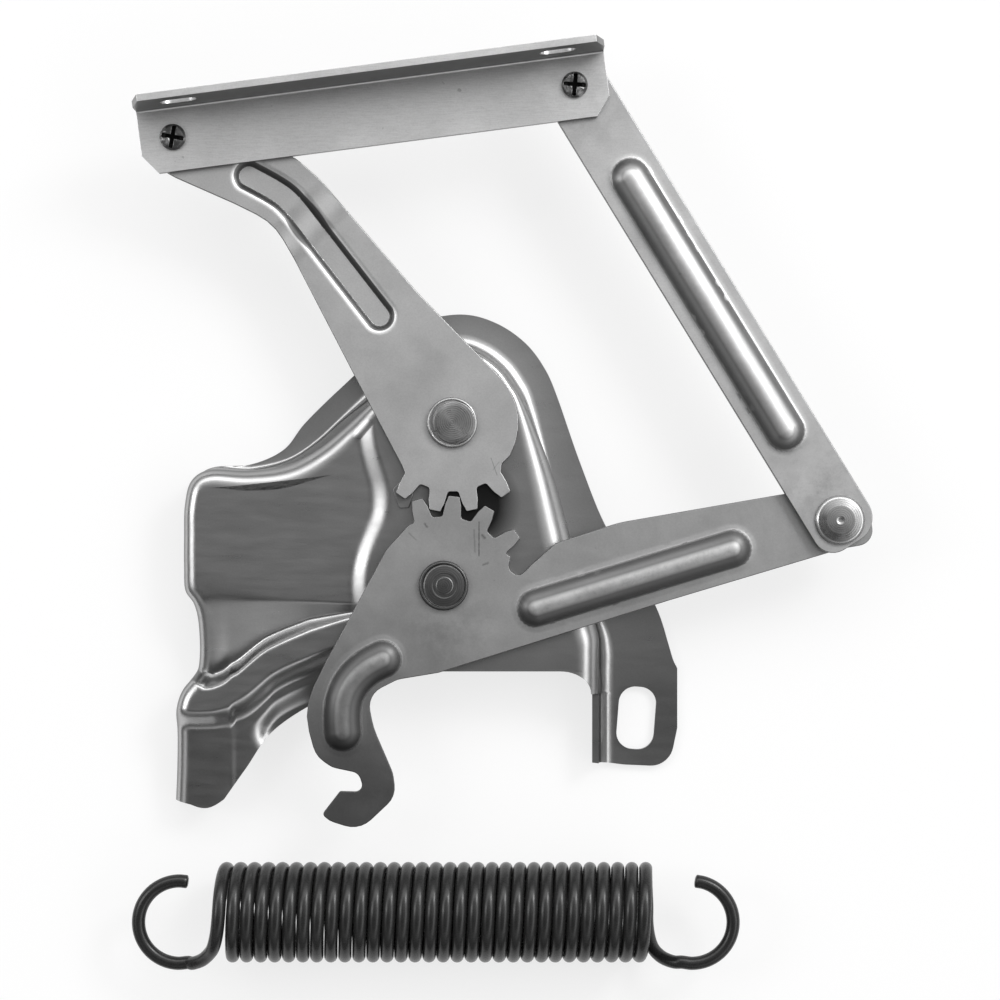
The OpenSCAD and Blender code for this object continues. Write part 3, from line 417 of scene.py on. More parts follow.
def outline_loops(node, height, upward):
    """Closed loops in plan of the edges where a face at this height, or at any, meets an upright wall."""
    work = bmesh.new()
    work.from_mesh(frame["nodes"][node].data)
    bmesh.ops.remove_doubles(work, verts=work.verts, dist=2e-6)
    work.normal_update()
    sign = 1 if upward else -1
    links = {}
    for edge in work.edges:
        if len(edge.link_faces) != 2 or height and any(abs(v.co.z / MM - height) > 0.02 for v in edge.verts):
            continue
        heights = sorted((sign * f.normal.z for f in edge.link_faces), key=abs)
        if heights[1] > (0.98 if height else 0.1) and abs(heights[0]) < 0.05:
            a, b = edge.verts
            links.setdefault(a, []).append(b)
            links.setdefault(b, []).append(a)
    loops, used = [], set()
    for start in links:
        loop, ahead = [], [start] if start not in used else []
        while ahead:
            loop.append(ahead[0])
            used.add(ahead[0])
            ahead = [v for v in links[ahead[0]] if v not in used]
        if len(loop) > 5:
            loops.append(anticlockwise(np.array([[v.co.x / MM, v.co.y / MM] for v in loop])))
    work.free()
    return sorted(loops, key=area, reverse=True)


def area(loop):
    x, y = loop[:, 0], loop[:, 1]
    return 0.5 * float(np.sum(x * np.roll(y, -1) - y * np.roll(x, -1)))


def anticlockwise(loop):
    return loop if area(loop) > 0 else loop[::-1]


def circle(centre, r, count=64):
    a = np.arange(count) * 2 * math.pi / count
    return np.stack([centre[0] + r * np.cos(a), centre[1] + r * np.sin(a)], 1)


def inside(points, loop):
    """Even-odd test of many points against one loop."""
    x, y = points[:, 0][:, None], points[:, 1][:, None]
    ax, ay = loop[:, 0][None], loop[:, 1][None]
    bx, by = np.roll(loop[:, 0], -1)[None], np.roll(loop[:, 1], -1)[None]
    with np.errstate(divide="ignore", invalid="ignore"):
        cross = ((ay > y) != (by > y)) & (x < (bx - ax) * (y - ay) / (by - ay) + ax)
    return cross.sum(1) % 2 == 1


def path_distance(path, x, y):
    """Distance in plan of points from an open path."""
    best = np.full(np.shape(x), 1e9)
    for p, q in zip(path[:-1], path[1:]):
        d = q - p
        t = np.clip(((x - p[0]) * d[0] + (y - p[1]) * d[1]) / (d @ d), 0, 1)
        best = np.minimum(best, np.hypot(x - p[0] - t * d[0], y - p[1] - t * d[1]))
    return best


def edge_distance(points, loop):
    """Distance in plan of points from a closed loop."""
    return path_distance(np.concatenate([loop, loop[:1]]), *points.T)


def out_normals(loop):
    """Direction away from the metal at each corner of a loop, and the stretch that keeps an inset even."""
    ahead, back = unit(np.roll(loop, -1, 0) - loop), unit(loop - np.roll(loop, 1, 0))
    na, nb = np.stack([ahead[:, 1], -ahead[:, 0]], 1), np.stack([back[:, 1], -back[:, 0]], 1)
    mid = unit(na + nb)
    stretch = 1 / np.clip((mid * na).sum(1), 0.5, 1)
    return mid, stretch


def surface_normal(height, xy):
    x, y = xy[:, 0], xy[:, 1]
    dx = (height(x + 0.03, y) - height(x - 0.03, y)) / 0.06
    dy = (height(x, y + 0.03) - height(x, y - 0.03)) / 0.06
    return unit(np.stack([-dx, -dy, np.ones_like(dx)], 1))


def band(a, b, count):
    """Quads between two rings of points, from the index of each ring's first point."""
    return [(a + k, a + (k + 1) % count, b + (k + 1) % count, b + k) for k in range(count)]


def in_sheet(points, loops):
    """Which points lie inside the first loop and outside the others."""
    good = inside(points, loops[0])
    for hole in loops[1:]:
        good &= ~inside(points, hole)
    return good


# Radius of a sheet's edges, and the angles of the rings of points round it
EDGE_R = 0.35
EDGE_TURNS = [math.pi / 2 * k / 3 for k in range(4)]


def sheet_piece(name, loops, top, bottom, material, extra):
    """A pressed sheet: outline loops (the first is outside, anticlockwise, the others are holes, clockwise),
    heights of both faces as functions in plan, extra points where the faces bend, and rounded edges."""
    points, normals, faces, starts = [], [], [], []
    for loop in loops:
        out, stretch = out_normals(loop)
        rows = []
        for face, upward in ((top, 1), (bottom, -1)):
            for a in EDGE_TURNS[::-upward]:
                xy = loop - out * (EDGE_R * (1 - math.cos(a)) * stretch)[:, None]
                z = face(xy[:, 0], xy[:, 1]) - upward * EDGE_R * (1 - math.sin(a))
                n = surface_normal(face, xy) * upward * math.sin(a)
                n[:, :2] += out * math.cos(a)
                rows.append(len(points))
                points.extend(np.column_stack([xy, z]))
                normals.extend(unit(n))
        starts.append((rows[0], rows[-1], len(loop)))
        for first, second in zip(rows, rows[1:]):
            faces += band(second, first, len(loop))
    keep = extra[in_sheet(extra, loops)]
    for loop in loops:
        keep = keep[edge_distance(keep, loop) > EDGE_R + 0.45]
    for side, face, upward in ((0, top, 1), (1, bottom, -1)):
        rim, edges, rings = [], [], []
        for start in starts:
            first, count = start[side], start[2]
            edges += [(len(rim) + k, len(rim) + (k + 1) % count) for k in range(count)]
            rim += range(first, first + count)
            rings.append(np.array(points[first:first + count])[:, :2])
        where = [Vector(points[i][:2]) for i in rim] + [Vector(p) for p in keep]
        found = delaunay_2d_cdt(where, edges, [], 0, 1e-7, True)
        nodes = rim + list(range(len(points), len(points) + len(keep)))
        points.extend(np.column_stack([keep, face(keep[:, 0], keep[:, 1])]))
        normals.extend(surface_normal(face, keep) * upward)
        corners = np.array([v[:] for v in found[0]])
        source = [origins[0] if origins else None for origins in found[3]]
        triangles = np.array([f for f in found[2] if len(f) == 3])
        for triangle in triangles[in_sheet(corners[triangles].mean(1), rings)]:
            ids = [source[i] for i in triangle]
            if None not in ids:
                faces.append([nodes[i] for i in ids][::upward])
    return new_object(name, points, faces, material, normals)


def grid_points(loop, spacing=7, margin=2.5):
    low, high = loop.min(0), loop.max(0)
    rows = []
    for j, y in enumerate(np.arange(low[1], high[1], spacing * 0.87)):
        x = np.arange(low[0] + (j % 2) * spacing / 2, high[0], spacing)
        rows.append(np.stack([x, np.full_like(x, y)], 1))
    points = np.concatenate(rows)
    return points[edge_distance(points, loop) > margin]


def along_path(path, offsets, spacing):
    """Points on lines beside a path and round its ends, at each of these distances."""
    path = np.asarray(path)
    found = []
    length = np.concatenate([[0], np.cumsum(np.linalg.norm(np.diff(path, axis=0), axis=1))])
    count = max(2, int(length[-1] / spacing))
    at = np.linspace(0, length[-1], count)
    spine = np.stack([np.interp(at, length, path[:, k]) for k in (0, 1)], 1)
    way = unit(np.gradient(spine, axis=0))
    side = np.stack([-way[:, 1], way[:, 0]], 1)
    for d in offsets:
        if d < 1e-6:
            found.append(spine)
            continue
        found += [spine + d * side, spine - d * side]
        n = max(3, int(math.pi * d / spacing * 1.5))
        for end, way_out in ((spine[0], -way[0]), (spine[-1], way[-1])):
            a = np.linspace(-math.pi / 2, math.pi / 2, n + 2)[1:-1] + math.atan2(way_out[1], way_out[0])
            found.append(end + d * np.stack([np.cos(a), np.sin(a)], 1))
    return np.concatenate(found)


def turned(points, angle, origin):
    a = math.radians(angle)
    points = np.asarray(points, float)
    c, s = math.cos(a), math.sin(a)
    return np.stack([origin[0] + points[:, 0] * c - points[:, 1] * s,
                     origin[1] + points[:, 0] * s + points[:, 1] * c], 1)


def catmull(values, u):
    """Smooth curve through evenly spaced values, at steps counted from the first."""
    n = len(values) - 1
    i = np.minimum(np.floor(u).astype(int), n - 1)
    t = u - i
    a, b = values[i], values[i + 1]
    da = np.where(i > 0, (b - values[np.maximum(i - 1, 0)]) / 2, b - a)
    db = np.where(i < n - 1, (values[np.minimum(i + 2, n)] - a) / 2, b - a)
    return (a * (2 * t**3 - 3 * t**2 + 1) + da * (t**3 - 2 * t**2 + t)
            + b * (3 * t**2 - 2 * t**3) + db * (t**3 - t**2))


def spline(keys, u):
    """Smooth curve through rows of keys, at steps counted from the first row."""
    return np.stack([catmull(keys[:, k], u) for k in range(keys.shape[1])], 1)


def smooth_path(path, count):
    return spline(np.asarray(path, float), np.linspace(0, len(path) - 1, count))


def bead_rise(d, half, rise):
    """Height of a half-round bead at this distance from its middle line, with a soft foot."""
    r = (half**2 + rise**2) / (2 * rise)
    crown = np.where(d < r, rise - r + np.sqrt(np.maximum(r**2 - d**2, 0)), rise - r - (d - r))
    return 0.5 * (crown + np.sqrt(crown**2 + 0.7**2))


# Sides of the rivets and of the spring's wire
ROUND = 96
WIRE_SIDES = 18


def lathe(name, profile, centre, material, moved):
    """A round solid about an upright axis, from its profile [r, z] that starts and ends on the axis, with
    how far each ring is moved along X."""
    points = [[centre[0], centre[1], profile[0][1]]]
    for (r, z), shift in zip(profile[1:-1], moved[1:-1]):
        points += [[centre[0] + shift + r * math.cos(t), centre[1] + r * math.sin(t), z]
                   for t in np.arange(ROUND) * 2 * math.pi / ROUND]
    last = len(points)
    points.append([centre[0] + moved[-1], centre[1], profile[-1][1]])
    faces = [(0, 1 + (k + 1) % ROUND, 1 + k) for k in range(ROUND)]
    for first in range(1, last - ROUND, ROUND):
        faces += band(first, first + ROUND, ROUND)
    faces += [(last, last - ROUND + k, last - ROUND + (k + 1) % ROUND) for k in range(ROUND)]
    return new_object(name, points, faces, material)


def corner(corners, i):
    """A corner [x, y, radius] of an outline: its point, the ways to its neighbours, half of its angle and how
    far off its round starts."""
    p, a, b = [np.array(corners[k % len(corners)][:2], float) for k in (i, i - 1, i + 1)]
    u, v = unit(a - p), unit(b - p)
    half = math.acos(np.clip(u @ v, -1, 1)) / 2
    cut = min(corners[i][2] / math.tan(half), 0.49 * np.linalg.norm(a - p), 0.49 * np.linalg.norm(b - p))
    return p, u, v, half, cut


def round_profile(corners, count=5):
    """A profile whose corners are rounded, each by its own radius."""
    result = []
    for i, (x, y, radius) in enumerate(corners):
        if radius == 0:
            result.append(np.array([x, y]))
            continue
        p, u, v, _, cut = corner(corners, i)
        for t in np.arange(count + 1) / count:
            result.append((1 - t) ** 2 * (p + u * cut) + 2 * t * (1 - t) * p + t**2 * (p + v * cut))
    return result


# Light and floor
def world_light():
    """A studio sky: dim overhead, a bright ring of panels and dim sides, brighter towards +X and +Y."""
    world = bpy.data.worlds.new("studio")
    bpy.context.scene.world = world
    world.use_nodes = True
    tree = world.node_tree
    way = add_node(tree, "TexCoord", output="Generated")
    height = add_node(tree, "SeparateXYZ", {0: way}, "Z")

    def combine(operation, a, b):
        return add_node(tree, "Math", {0: a, 1: b}, operation=operation)

    def by_height(*stops):
        output = add_node(tree, "FloatCurve", {"Value": height})
        mapping = output.node.mapping
        curve = mapping.curves[0]
        while len(curve.points) < len(stops):
            curve.points.new(0.5, 0.5)
        for point, stop in zip(curve.points, stops):
            point.location = stop
            point.handle_type = "AUTO"
        mapping.update()
        return output

    def lean(x, y):
        """0 at the middle, rising by x along X and by y along Y."""
        return add_node(tree, "VectorMath", {0: way, 1: (x, y, 0)}, "Value", operation="DOT_PRODUCT")

    # Half of the strength at each height, from the horizon up to overhead
    ring = by_height((0, 0.04), (0.3, 0.16), (0.5, 0.55), (0.62, 1), (0.72, 0.9), (0.8, 0.2), (0.88, 0.1),
                     (1, 0.09))
    overhead = by_height((0, 0), (0.8, 0), (0.93, 1), (1, 1))
    slope = combine("MULTIPLY", lean(0.3, 0.6), overhead)
    sides = combine("MAXIMUM", combine("ADD", lean(0.6, 1.0), 1.0), 0.15)
    half = combine("ADD", combine("MULTIPLY", ring, sides), slope)
    strength = combine("MAXIMUM", combine("MULTIPLY", half, 2.0), 0.05)
    background = tree.nodes["Background"]
    background.inputs["Color"].default_value = (1, 1, 1, 1)
    tree.links.new(strength, background.inputs["Strength"])


def lamp(name, where, size, power):
    """A square lamp that points at the middle of the hinge."""
    data = bpy.data.lights.new(name, "AREA")
    data.shape = "RECTANGLE"
    data.size, data.size_y = size
    data.energy = power
    obj = add_object(name, data)
    obj.location = where
    obj.rotation_euler = (Vector((-0.05, 0.09, 0.02)) - Vector(where)).to_track_quat("-Z", "Y").to_euler()


def pale_floor():
    """A pale floor that shows white to the camera and in reflections, and keeps the object's shadow."""
    bpy.ops.mesh.primitive_plane_add(size=6, location=(0, 0, -0.0001))
    floor = bpy.context.object
    floor.name = "floor"
    material = bpy.data.materials.new("floor")
    material.use_nodes = True
    tree = material.node_tree
    tree.nodes.clear()
    path = tree.nodes.new("ShaderNodeLightPath").outputs
    seen = path["Is Camera Ray"]
    for other in ("Is Glossy Ray", "Is Transmission Ray"):
        seen = add_node(tree, "Math", {0: seen, 1: path[other]}, operation="MAXIMUM")
    share = add_node(tree, "Math", {0: seen, 1: 0.75}, operation="MULTIPLY")
    diffuse = add_node(tree, "BsdfDiffuse", {"Color": (0.9, 0.9, 0.9, 1)})
    glow = add_node(tree, "Emission", {"Strength": 1.0})
    surface = add_node(tree, "MixShader", {0: share, 1: diffuse, 2: glow})
    tree.links.new(surface, tree.nodes.new("ShaderNodeOutputMaterial").inputs["Surface"])
    floor.data.materials.append(material)


world_light()
lamp("key", (0.95, 1.0, 1.2), (0.5, 0.5), 9)
lamp("left", (-1.15, 0.25, 0.95), (0.4, 0.8), 3)
pale_floor()


# Base bracket

# Foot of the wall, all round from the square side flange to the ear: x, y, flange outside it, wall's width,
# 1 where it is the square side flange, foot's and crown's radius. Then, for the rows that start on the left,
# where the row ends, x and y, and how far it follows the rib
ROW_END = -94
SQUARE = (0, 5.5, 1, 2.5, 5)
SIDE_KEYS = np.array([
    [-181.4, -31.5, *SQUARE, -162, -31, 0.1],
    [-180.8, -20, *SQUARE, -153.5, -19, 0.2],
    [-180.5, -8, *SQUARE, -142, -3.5, 0.4],
    [-180.5, 2, *SQUARE, -120, 10, 0.8],
    [-179.5, 8, *SQUARE, ROW_END, 19.7, 1],
    [-177.5, 12.5, *SQUARE, ROW_END, 31, 1],
    [-173.5, 18, *SQUARE, ROW_END, 38, 1],
    [-172, 26, *SQUARE, ROW_END, 45, 0.8],
    [-172, 38, *SQUARE, ROW_END, 50, 0.4],
    [-173.4, 45.5, *SQUARE, ROW_END, 55, 0.15],
    [-176.8, 51, *SQUARE, ROW_END, 60, 0],
    [-177.3, 60, *SQUARE, ROW_END, 66, 0],
    [-177.3, 72, *SQUARE, ROW_END, 75, 0],
    [-177, 84, *SQUARE, ROW_END, 86, 0],
    [-174.5, 94, 0, 6, 0.8, 2.5, 5, ROW_END, 94, 0],
    [-167, 99.2, 0, 7.5, 0.3, 2.5, 6, ROW_END, 98, 0],
    [-152, 99.8, 0.6, 9, 0, 2, 7, ROW_END, 101, 0],
    [-138, 103, 3.5, 11, 0, 1.5, 8, ROW_END, 104, 0],
    [-127, 110, 7.5, 12, 0, 1.5, 8, ROW_END, 108, 0],
    [-117, 119.4, 8, 12, 0, 2, 7, ROW_END, 113.5, 0],
    [-107, 129.5, 7.5, 11, 0, 4, 5, ROW_END, 121, 0]])
RIM_KEYS = np.array([
    [-94.5, 141, 8, 9.5, 0, 6, 3],
    [-82.5, 149, 8, 9, 0, 7, 2.5],
    [-69.5, 152, 7.6, 9, 0, 7, 2.5],
    [-59, 149, 8, 9, 0, 7, 2.5],
    [-50, 142.5, 8.4, 9, 0, 7, 2.5],
    [-43.8, 134.5, 8.4, 9, 0, 7, 2.5],
    [-39.5, 124.5, 8.6, 9, 0, 6, 4],
    [-33.3, 98, 11.5, 9.5, 0, 2.5, 9],
    [-26.6, 70.8, 15.5, 10.5, 0, 2.5, 11],
    [-18.5, 50, 20.5, 12, 0, 3, 10.5],
    [-11.2, 36, 20.6, 14, 0, 4.5, 9],
    [-8.8, 27, 21.6, 15, 0, 6, 8],
    [-8.8, 19.7, 25, 15, 0, 6, 8]])
WALL_KEYS = np.concatenate([SIDE_KEYS[:, :7], RIM_KEYS])
RIB_LINE = np.array([[-182, 8.6], [-166, 8.6], [-158, 12.5], [-143, 23.5], [-127, 30.6], [-108, 36.8],
                     [-92, 41]])
BULGE = 22.0
RIB_HALF = 4.0
RIB_WALL = 5.5
VALLEY_DEPTH = 11.0
LEG_DROP = 5.0
PAD_R = 33.0
PAD_LEFT = -99.0
STEP_WIDTH = 8.0
# How far the wall leans from Y at the leg's lower end
LEG_END_LEAN = 0.25


def ease(t):
    t = np.clip(t, 0, 1)
    return t * t * (3 - 2 * t)


def soft_ramp(t):
    """0 below 0, then even slope 1 up to 1, with rounded corners."""
    k = 0.06
    low = 0.5 * (t + np.sqrt(t * t + k * k))
    return 1 - 0.5 * ((1 - low) + np.sqrt((1 - low) ** 2 + k * k))


def soft_min(a, b):
    return np.minimum(a, b) - 3 * np.maximum(0, 1 - np.abs(a - b) / 12) ** 2


def rib_y(x):
    i = np.clip(np.searchsorted(RIB_LINE[:, 0], x, "right") - 1, 0, len(RIB_LINE) - 2)
    t = np.clip((x - RIB_LINE[i, 0]) / (RIB_LINE[i + 1, 0] - RIB_LINE[i, 0]), 0, 1)
    return catmull(RIB_LINE[:, 1], i + t)


def past_plateau(x, y):
    """Distance outside the edge of the raised plateau."""
    both = soft_min(np.hypot(x - UPPER[0], y - UPPER[1]), np.hypot(x - LOWER[0], y - LOWER[1]))
    return soft_min(both - PAD_R, PAD_LEFT - x)


def level(x, y):
    """Height of the bracket's outer face inside its walls."""
    x, y = np.asarray(x, float), np.asarray(y, float)
    rib = rib_y(x)
    tilt = np.sqrt(1 + ((rib_y(x + 1) - rib_y(x - 1)) / 2) ** 2)
    off = (y - rib) / tilt
    foot = 48.5 - 0.04 * (x - SIDE_KEYS[6, 0])
    gap = np.maximum(foot - rib - RIB_HALF * tilt, 0.5)
    t = (foot - y) / gap
    wall = np.minimum(RIB_WALL / gap, 0.45)
    valley = np.minimum(VALLEY_DEPTH, gap / 3) * soft_ramp(t / (1 - wall)) * (1 - ease((t - 1 + wall) / wall))
    below = -off - RIB_HALF
    flare = 3 * ease((off + 40) / 14) * ease((x + 0.62 * (y + 12) + 148) / 9) * ease((below - 10) / 8)
    leg = LEG_DROP * ease(below / 8) + 0.1 * np.maximum(0, below) + flare
    left = BULGE - np.where(off > 0, valley, leg)
    return left + (PLATEAU - left) * ease(0.5 - past_plateau(x, y) / STEP_WIDTH)


def level_under(x, y):
    dx = level(x - 0.5, y) - level(x + 0.5, y)
    dy = level(x, y - 0.5) - level(x, y + 0.5)
    return level(x, y) - SHEET * np.minimum(1.7, np.sqrt(dx * dx + dy * dy + 1))


# Points of a wall's section, from its foot to its crown, and stations between two keys
FOOT_POINTS = 9
CROWN_POINTS = 11
SECTION = 2 + FOOT_POINTS + CROWN_POINTS
STEPS = 12
COLUMNS = 70
BORE_R, BORE_SIDES = 6.05, 40


def square_section(w, top):
    share = np.interp(np.linspace(0, 1, FOOT_POINTS), [0, 0.5, 1], [0.3, 0.6, 0.85])
    low = np.stack([np.zeros(FOOT_POINTS + 1), (top - w) * np.concatenate([[0], share])], 1)
    a = np.radians(np.linspace(0, 90, CROWN_POINTS))
    bend = np.stack([w * (1 - np.cos(a)), top - w * (1 - np.sin(a))], 1)
    return np.concatenate([low, bend, [[w + 1, top]]])


def sloped_section(w, top, flange, foot_r, crown_r):
    h = top - SHEET
    both = min(foot_r + crown_r, h - 0.5)
    foot = both * foot_r / (foot_r + crown_r)
    crown = both - foot
    rise = h - both
    steep = math.atan2(rise, w) + math.asin(min(1, both / math.hypot(w, rise)))
    a = steep * np.linspace(0, 1, FOOT_POINTS)
    low = np.stack([foot * np.sin(a), SHEET + foot * (1 - np.cos(a))], 1)
    a = steep * np.linspace(1, 0, CROWN_POINTS)
    high = np.stack([w - crown * np.sin(a), top - crown * (1 - np.cos(a))], 1)
    return np.concatenate([[[-flange, SHEET]], low, high, [[w + 1, top]]])


def wall_rows():
    """Both faces of the wall, station by station."""
    last = len(WALL_KEYS) - 1
    stations = spline(WALL_KEYS, np.arange(STEPS * last + 1) / STEPS)
    half = spline(WALL_KEYS[:, :2], np.arange(2 * last + 1) / 2)
    ways = np.concatenate([[[LEG_END_LEAN, 1]], half[2:] - half[:-2], [[0, -1]]])
    ways = unit(spline(unit(ways), np.arange(len(stations)) * 2 / STEPS))
    front = np.zeros((len(stations), SECTION, 3))
    back = np.zeros_like(front)
    for i, s in enumerate(stations):
        inward = np.array([ways[i, 1], -ways[i, 0]])
        ring = s[:2] + inward * (s[3] + 1)
        top = float(level(*ring))
        k = np.clip(s[4], 0, 1)
        c = (1 - k) * sloped_section(s[3], top, s[2], s[5], s[6]) + k * square_section(s[3], top)
        ahead = unit(np.gradient(c, axis=0))
        normal = np.stack([-ahead[:, 1], ahead[:, 0]], 1)
        normal[0] = (-1, 0) if k > 0.5 else (0, 1)
        xy = s[:2] + inward * c[:, :1]
        front[i] = np.column_stack([xy, c[:, 1]])
        under = xy - SHEET * inward * normal[:, :1]
        back[i] = np.column_stack([under, np.maximum(0, c[:, 1] - SHEET * normal[:, 1])])
        x, y = front[i, -1, 0], front[i, -1, 1]
        back[i, -1] = (x, y, level_under(x, y))
    return front, back


def inner_rows(front):
    """The sheet between the left wall's inner edge and the plateau, in plan."""
    side = spline(SIDE_KEYS, np.arange(STEPS * (len(SIDE_KEYS) - 1) + 1) / STEPS)
    t = 1 - (1 - np.arange(COLUMNS + 1) / COLUMNS) ** 1.3
    rows = []
    for i, s in enumerate(side):
        start = front[i, -1, :2]
        x = start[0] + (s[7] - start[0]) * t
        drop = rib_y(start[0])
        gain = rib_y(s[7]) - drop
        follow = (rib_y(x) - drop) / gain if gain > 4 else t
        sag = 2.4 * max(0, 1 - i / STEPS) ** 1.58
        y = start[1] + (s[8] - start[1]) * (t + (follow - t) * np.clip(s[9], 0, 1)) - sag * np.sin(math.pi * t)
        rows.append(np.stack([x, y], 1)[1:])
    return np.array(rows)


# The ear: the rounded corner under the plateau, then the low lip, cut level
CORNER = (-30.4, 10.7)
CORNER_R = (12, 9)
LIP_HEIGHT = 12
EDGE_POINTS = np.linspace(-26.2, CORNER[0], 4)


def ear_rows(front_last, back_last):
    """Rows below the wall's last section, each shorter than the one before it."""
    faces = []
    corner = [(CORNER[1] + CORNER_R[1] * math.sin(a), CORNER[0] + CORNER_R[0] * math.cos(a))
              for a in np.linspace(math.pi / 2, 0, 13)]
    for last, face in ((front_last, PLATEAU), (back_last, PLATEAU - SHEET)):
        x = np.concatenate([last[:, 0], EDGE_POINTS])
        z = np.concatenate([last[:, 2], np.full(len(EDGE_POINTS), face)])
        s = np.concatenate([[0], np.cumsum(np.hypot(np.diff(x), np.diff(z)))])
        ends = [(y, np.interp(-at, -x, s)) for y, at in corner]
        lip = np.interp(LIP_HEIGHT, z[:SECTION], s[:SECTION])
        ends += [(y, lip) for y in (10, 9, 7, *np.arange(4, -25, -3))]
        rows = []
        for y, end in ends:
            at = np.where(np.arange(len(s)) < 2, s, s[1] + (s - s[1]) * (end - s[1]) / (s[-1] - s[1]))
            rows.append(np.stack([np.interp(at, s, x), np.full(len(s), y), np.interp(at, s, z)], 1))
        faces.append(np.array(rows))
    return faces


def base_sheet():
    """The pressed sheet with its ear, before anything is cut out of it."""
    front, back = wall_rows()
    n = len(front)
    plan = inner_rows(front)
    rows = len(plan)
    grid = plan.reshape(-1, 2)
    ear_front, ear_back = ear_rows(front[-1], back[-1])
    across = SECTION + len(EDGE_POINTS)
    bores = np.concatenate([circle(c, BORE_R, BORE_SIDES) for c in (UPPER, LOWER)])
    outer, inner = [np.concatenate([wall.reshape(-1, 3), np.column_stack([grid, height(*grid.T)]),
                                    ear[0, SECTION:], ear[1:].reshape(-1, 3),
                                    np.column_stack([bores, np.full(len(bores), flat)])])
                    for wall, ear, height, flat in ((front, ear_front, level, PLATEAU),
                                                    (back, ear_back, level_under, PLATEAU - SHEET))]
    total = len(outer)
    ear_first = n * SECTION + len(grid)

    def wall_at(i, j):
        return i * SECTION + j

    def inner_at(i, j):
        return wall_at(i, SECTION - 1) if j == 0 else n * SECTION + i * COLUMNS + j - 1

    def ear_at(i, j):
        if i == 0:
            return wall_at(n - 1, j) if j < SECTION else ear_first + j - SECTION
        return ear_first + len(EDGE_POINTS) + (i - 1) * across + j

    def cells(at, down, over):
        return [(at(i, j + 1), at(i + 1, j + 1), at(i + 1, j), at(i, j))
                for i in range(down) for j in range(over)]

    low = len(ear_front) - 1
    quads = cells(wall_at, n - 1, SECTION - 1) + cells(inner_at, rows - 1, COLUMNS)
    quads += cells(ear_at, low, across - 1)
    start_row = 4 * STEPS
    edge = [inner_at(i, COLUMNS) for i in range(start_row, rows)]
    edge += [inner_at(rows - 1, j) for j in range(COLUMNS - 1, 0, -1)]
    edge += [wall_at(i, SECTION - 1) for i in range(rows - 1, n)]
    edge += [ear_at(0, j) for j in range(SECTION, across)]
    rim = [wall_at(i, 0) for i in range(n)] + [ear_at(i, 0) for i in range(1, low + 1)]
    rim += [ear_at(low, j) for j in range(1, across)] + [ear_at(i, across - 1) for i in range(low - 1, -1, -1)]
    rim += [inner_at(i, COLUMNS) for i in range(start_row, -1, -1)]
    rim += [inner_at(0, j) for j in range(COLUMNS - 1, -1, -1)]
    rim += [wall_at(0, j) for j in range(SECTION - 2, 0, -1)]
    around = [(k, (k + 1) % len(edge)) for k in range(len(edge))]
    rings = [[total - b * BORE_SIDES + k for k in range(BORE_SIDES)] for b in (2, 1)]
    for ring in rings:
        around += [(len(edge) + k, len(edge) + (k + 1) % BORE_SIDES) for k in range(BORE_SIDES)]
        edge += ring
    where = [Vector(outer[k][:2]) for k in edge]
    found = delaunay_2d_cdt(where, around, [], 0, 1e-7, True)
    triangles = np.array([[edge[found[3][k][0]] for k in f] for f in found[2]])
    middle = outer[triangles].mean(1)[:, :2]
    good = in_sheet(middle, [outer[loop, :2] for loop in (edge[:-2 * BORE_SIDES], *rings)])
    good &= np.abs([area(outer[f, :2]) for f in triangles]) > 1e-6
    upper = quads + [tuple(int(k) for k in f) for f in triangles[good]]
    faces = upper + [tuple(total + k for k in f[::-1]) for f in upper]
    for ring in rings:
        faces += [(a, b, b + total, a + total) for a, b in zip(ring, ring[1:] + ring[:1])]
    faces += [(b, b + total, a + total, a) for a, b in zip(rim, rim[1:] + rim[:1])]
    return np.concatenate([outer, inner]), faces


def rounded(corners, step=8):
    """An outline whose corners are rounded by arcs."""
    result = []
    for i, (x, y, radius) in enumerate(corners):
        if radius == 0:
            result.append(np.array([x, y], float))
            continue
        p, u, v, half, cut = corner(corners, i)
        middle = p + unit(u + v) * cut / math.cos(half)
        start = p + u * cut - middle
        turn = math.pi - 2 * half
        side = -1 if u[0] * v[1] - u[1] * v[0] > 0 else 1
        for t in np.linspace(0, side * turn, max(3, int(math.degrees(turn) / step) + 1)):
            result.append(middle + [start[0] * math.cos(t) - start[1] * math.sin(t),
                                    start[0] * math.sin(t) + start[1] * math.cos(t)])
    return np.array(result)


def prism(outline, low, high):
    """Points and faces of an upright prism on an outline that runs anticlockwise."""
    n = len(outline)
    points = np.concatenate([np.column_stack([outline, np.full(n, z)]) for z in (low, high)])
    faces = [tuple(range(n))[::-1], tuple(range(n, 2 * n))]
    return points, faces + band(0, n, n)


EAR_SIDES = [[16.2, 20.7, 0], [17, 12, 9], [16.4, -3, 20], [13, -19.2, 9], [-5, -18.4, 9], [-26, -15.7, 0]]
EAR_SLOT = (14.8, 24.8)
EAR_SLOT_LEAN = -4.5
REST_PAD = [[-95.6, 90.2, 1], [-92.6, 93.4, 1], [-89, 94.4, 1], [-87.6, 88, 1], [-89.2, 83.2, 1], [-93, 83, 1]]
SIDE_HOLES = ((72, 9), (-14, 5.8))


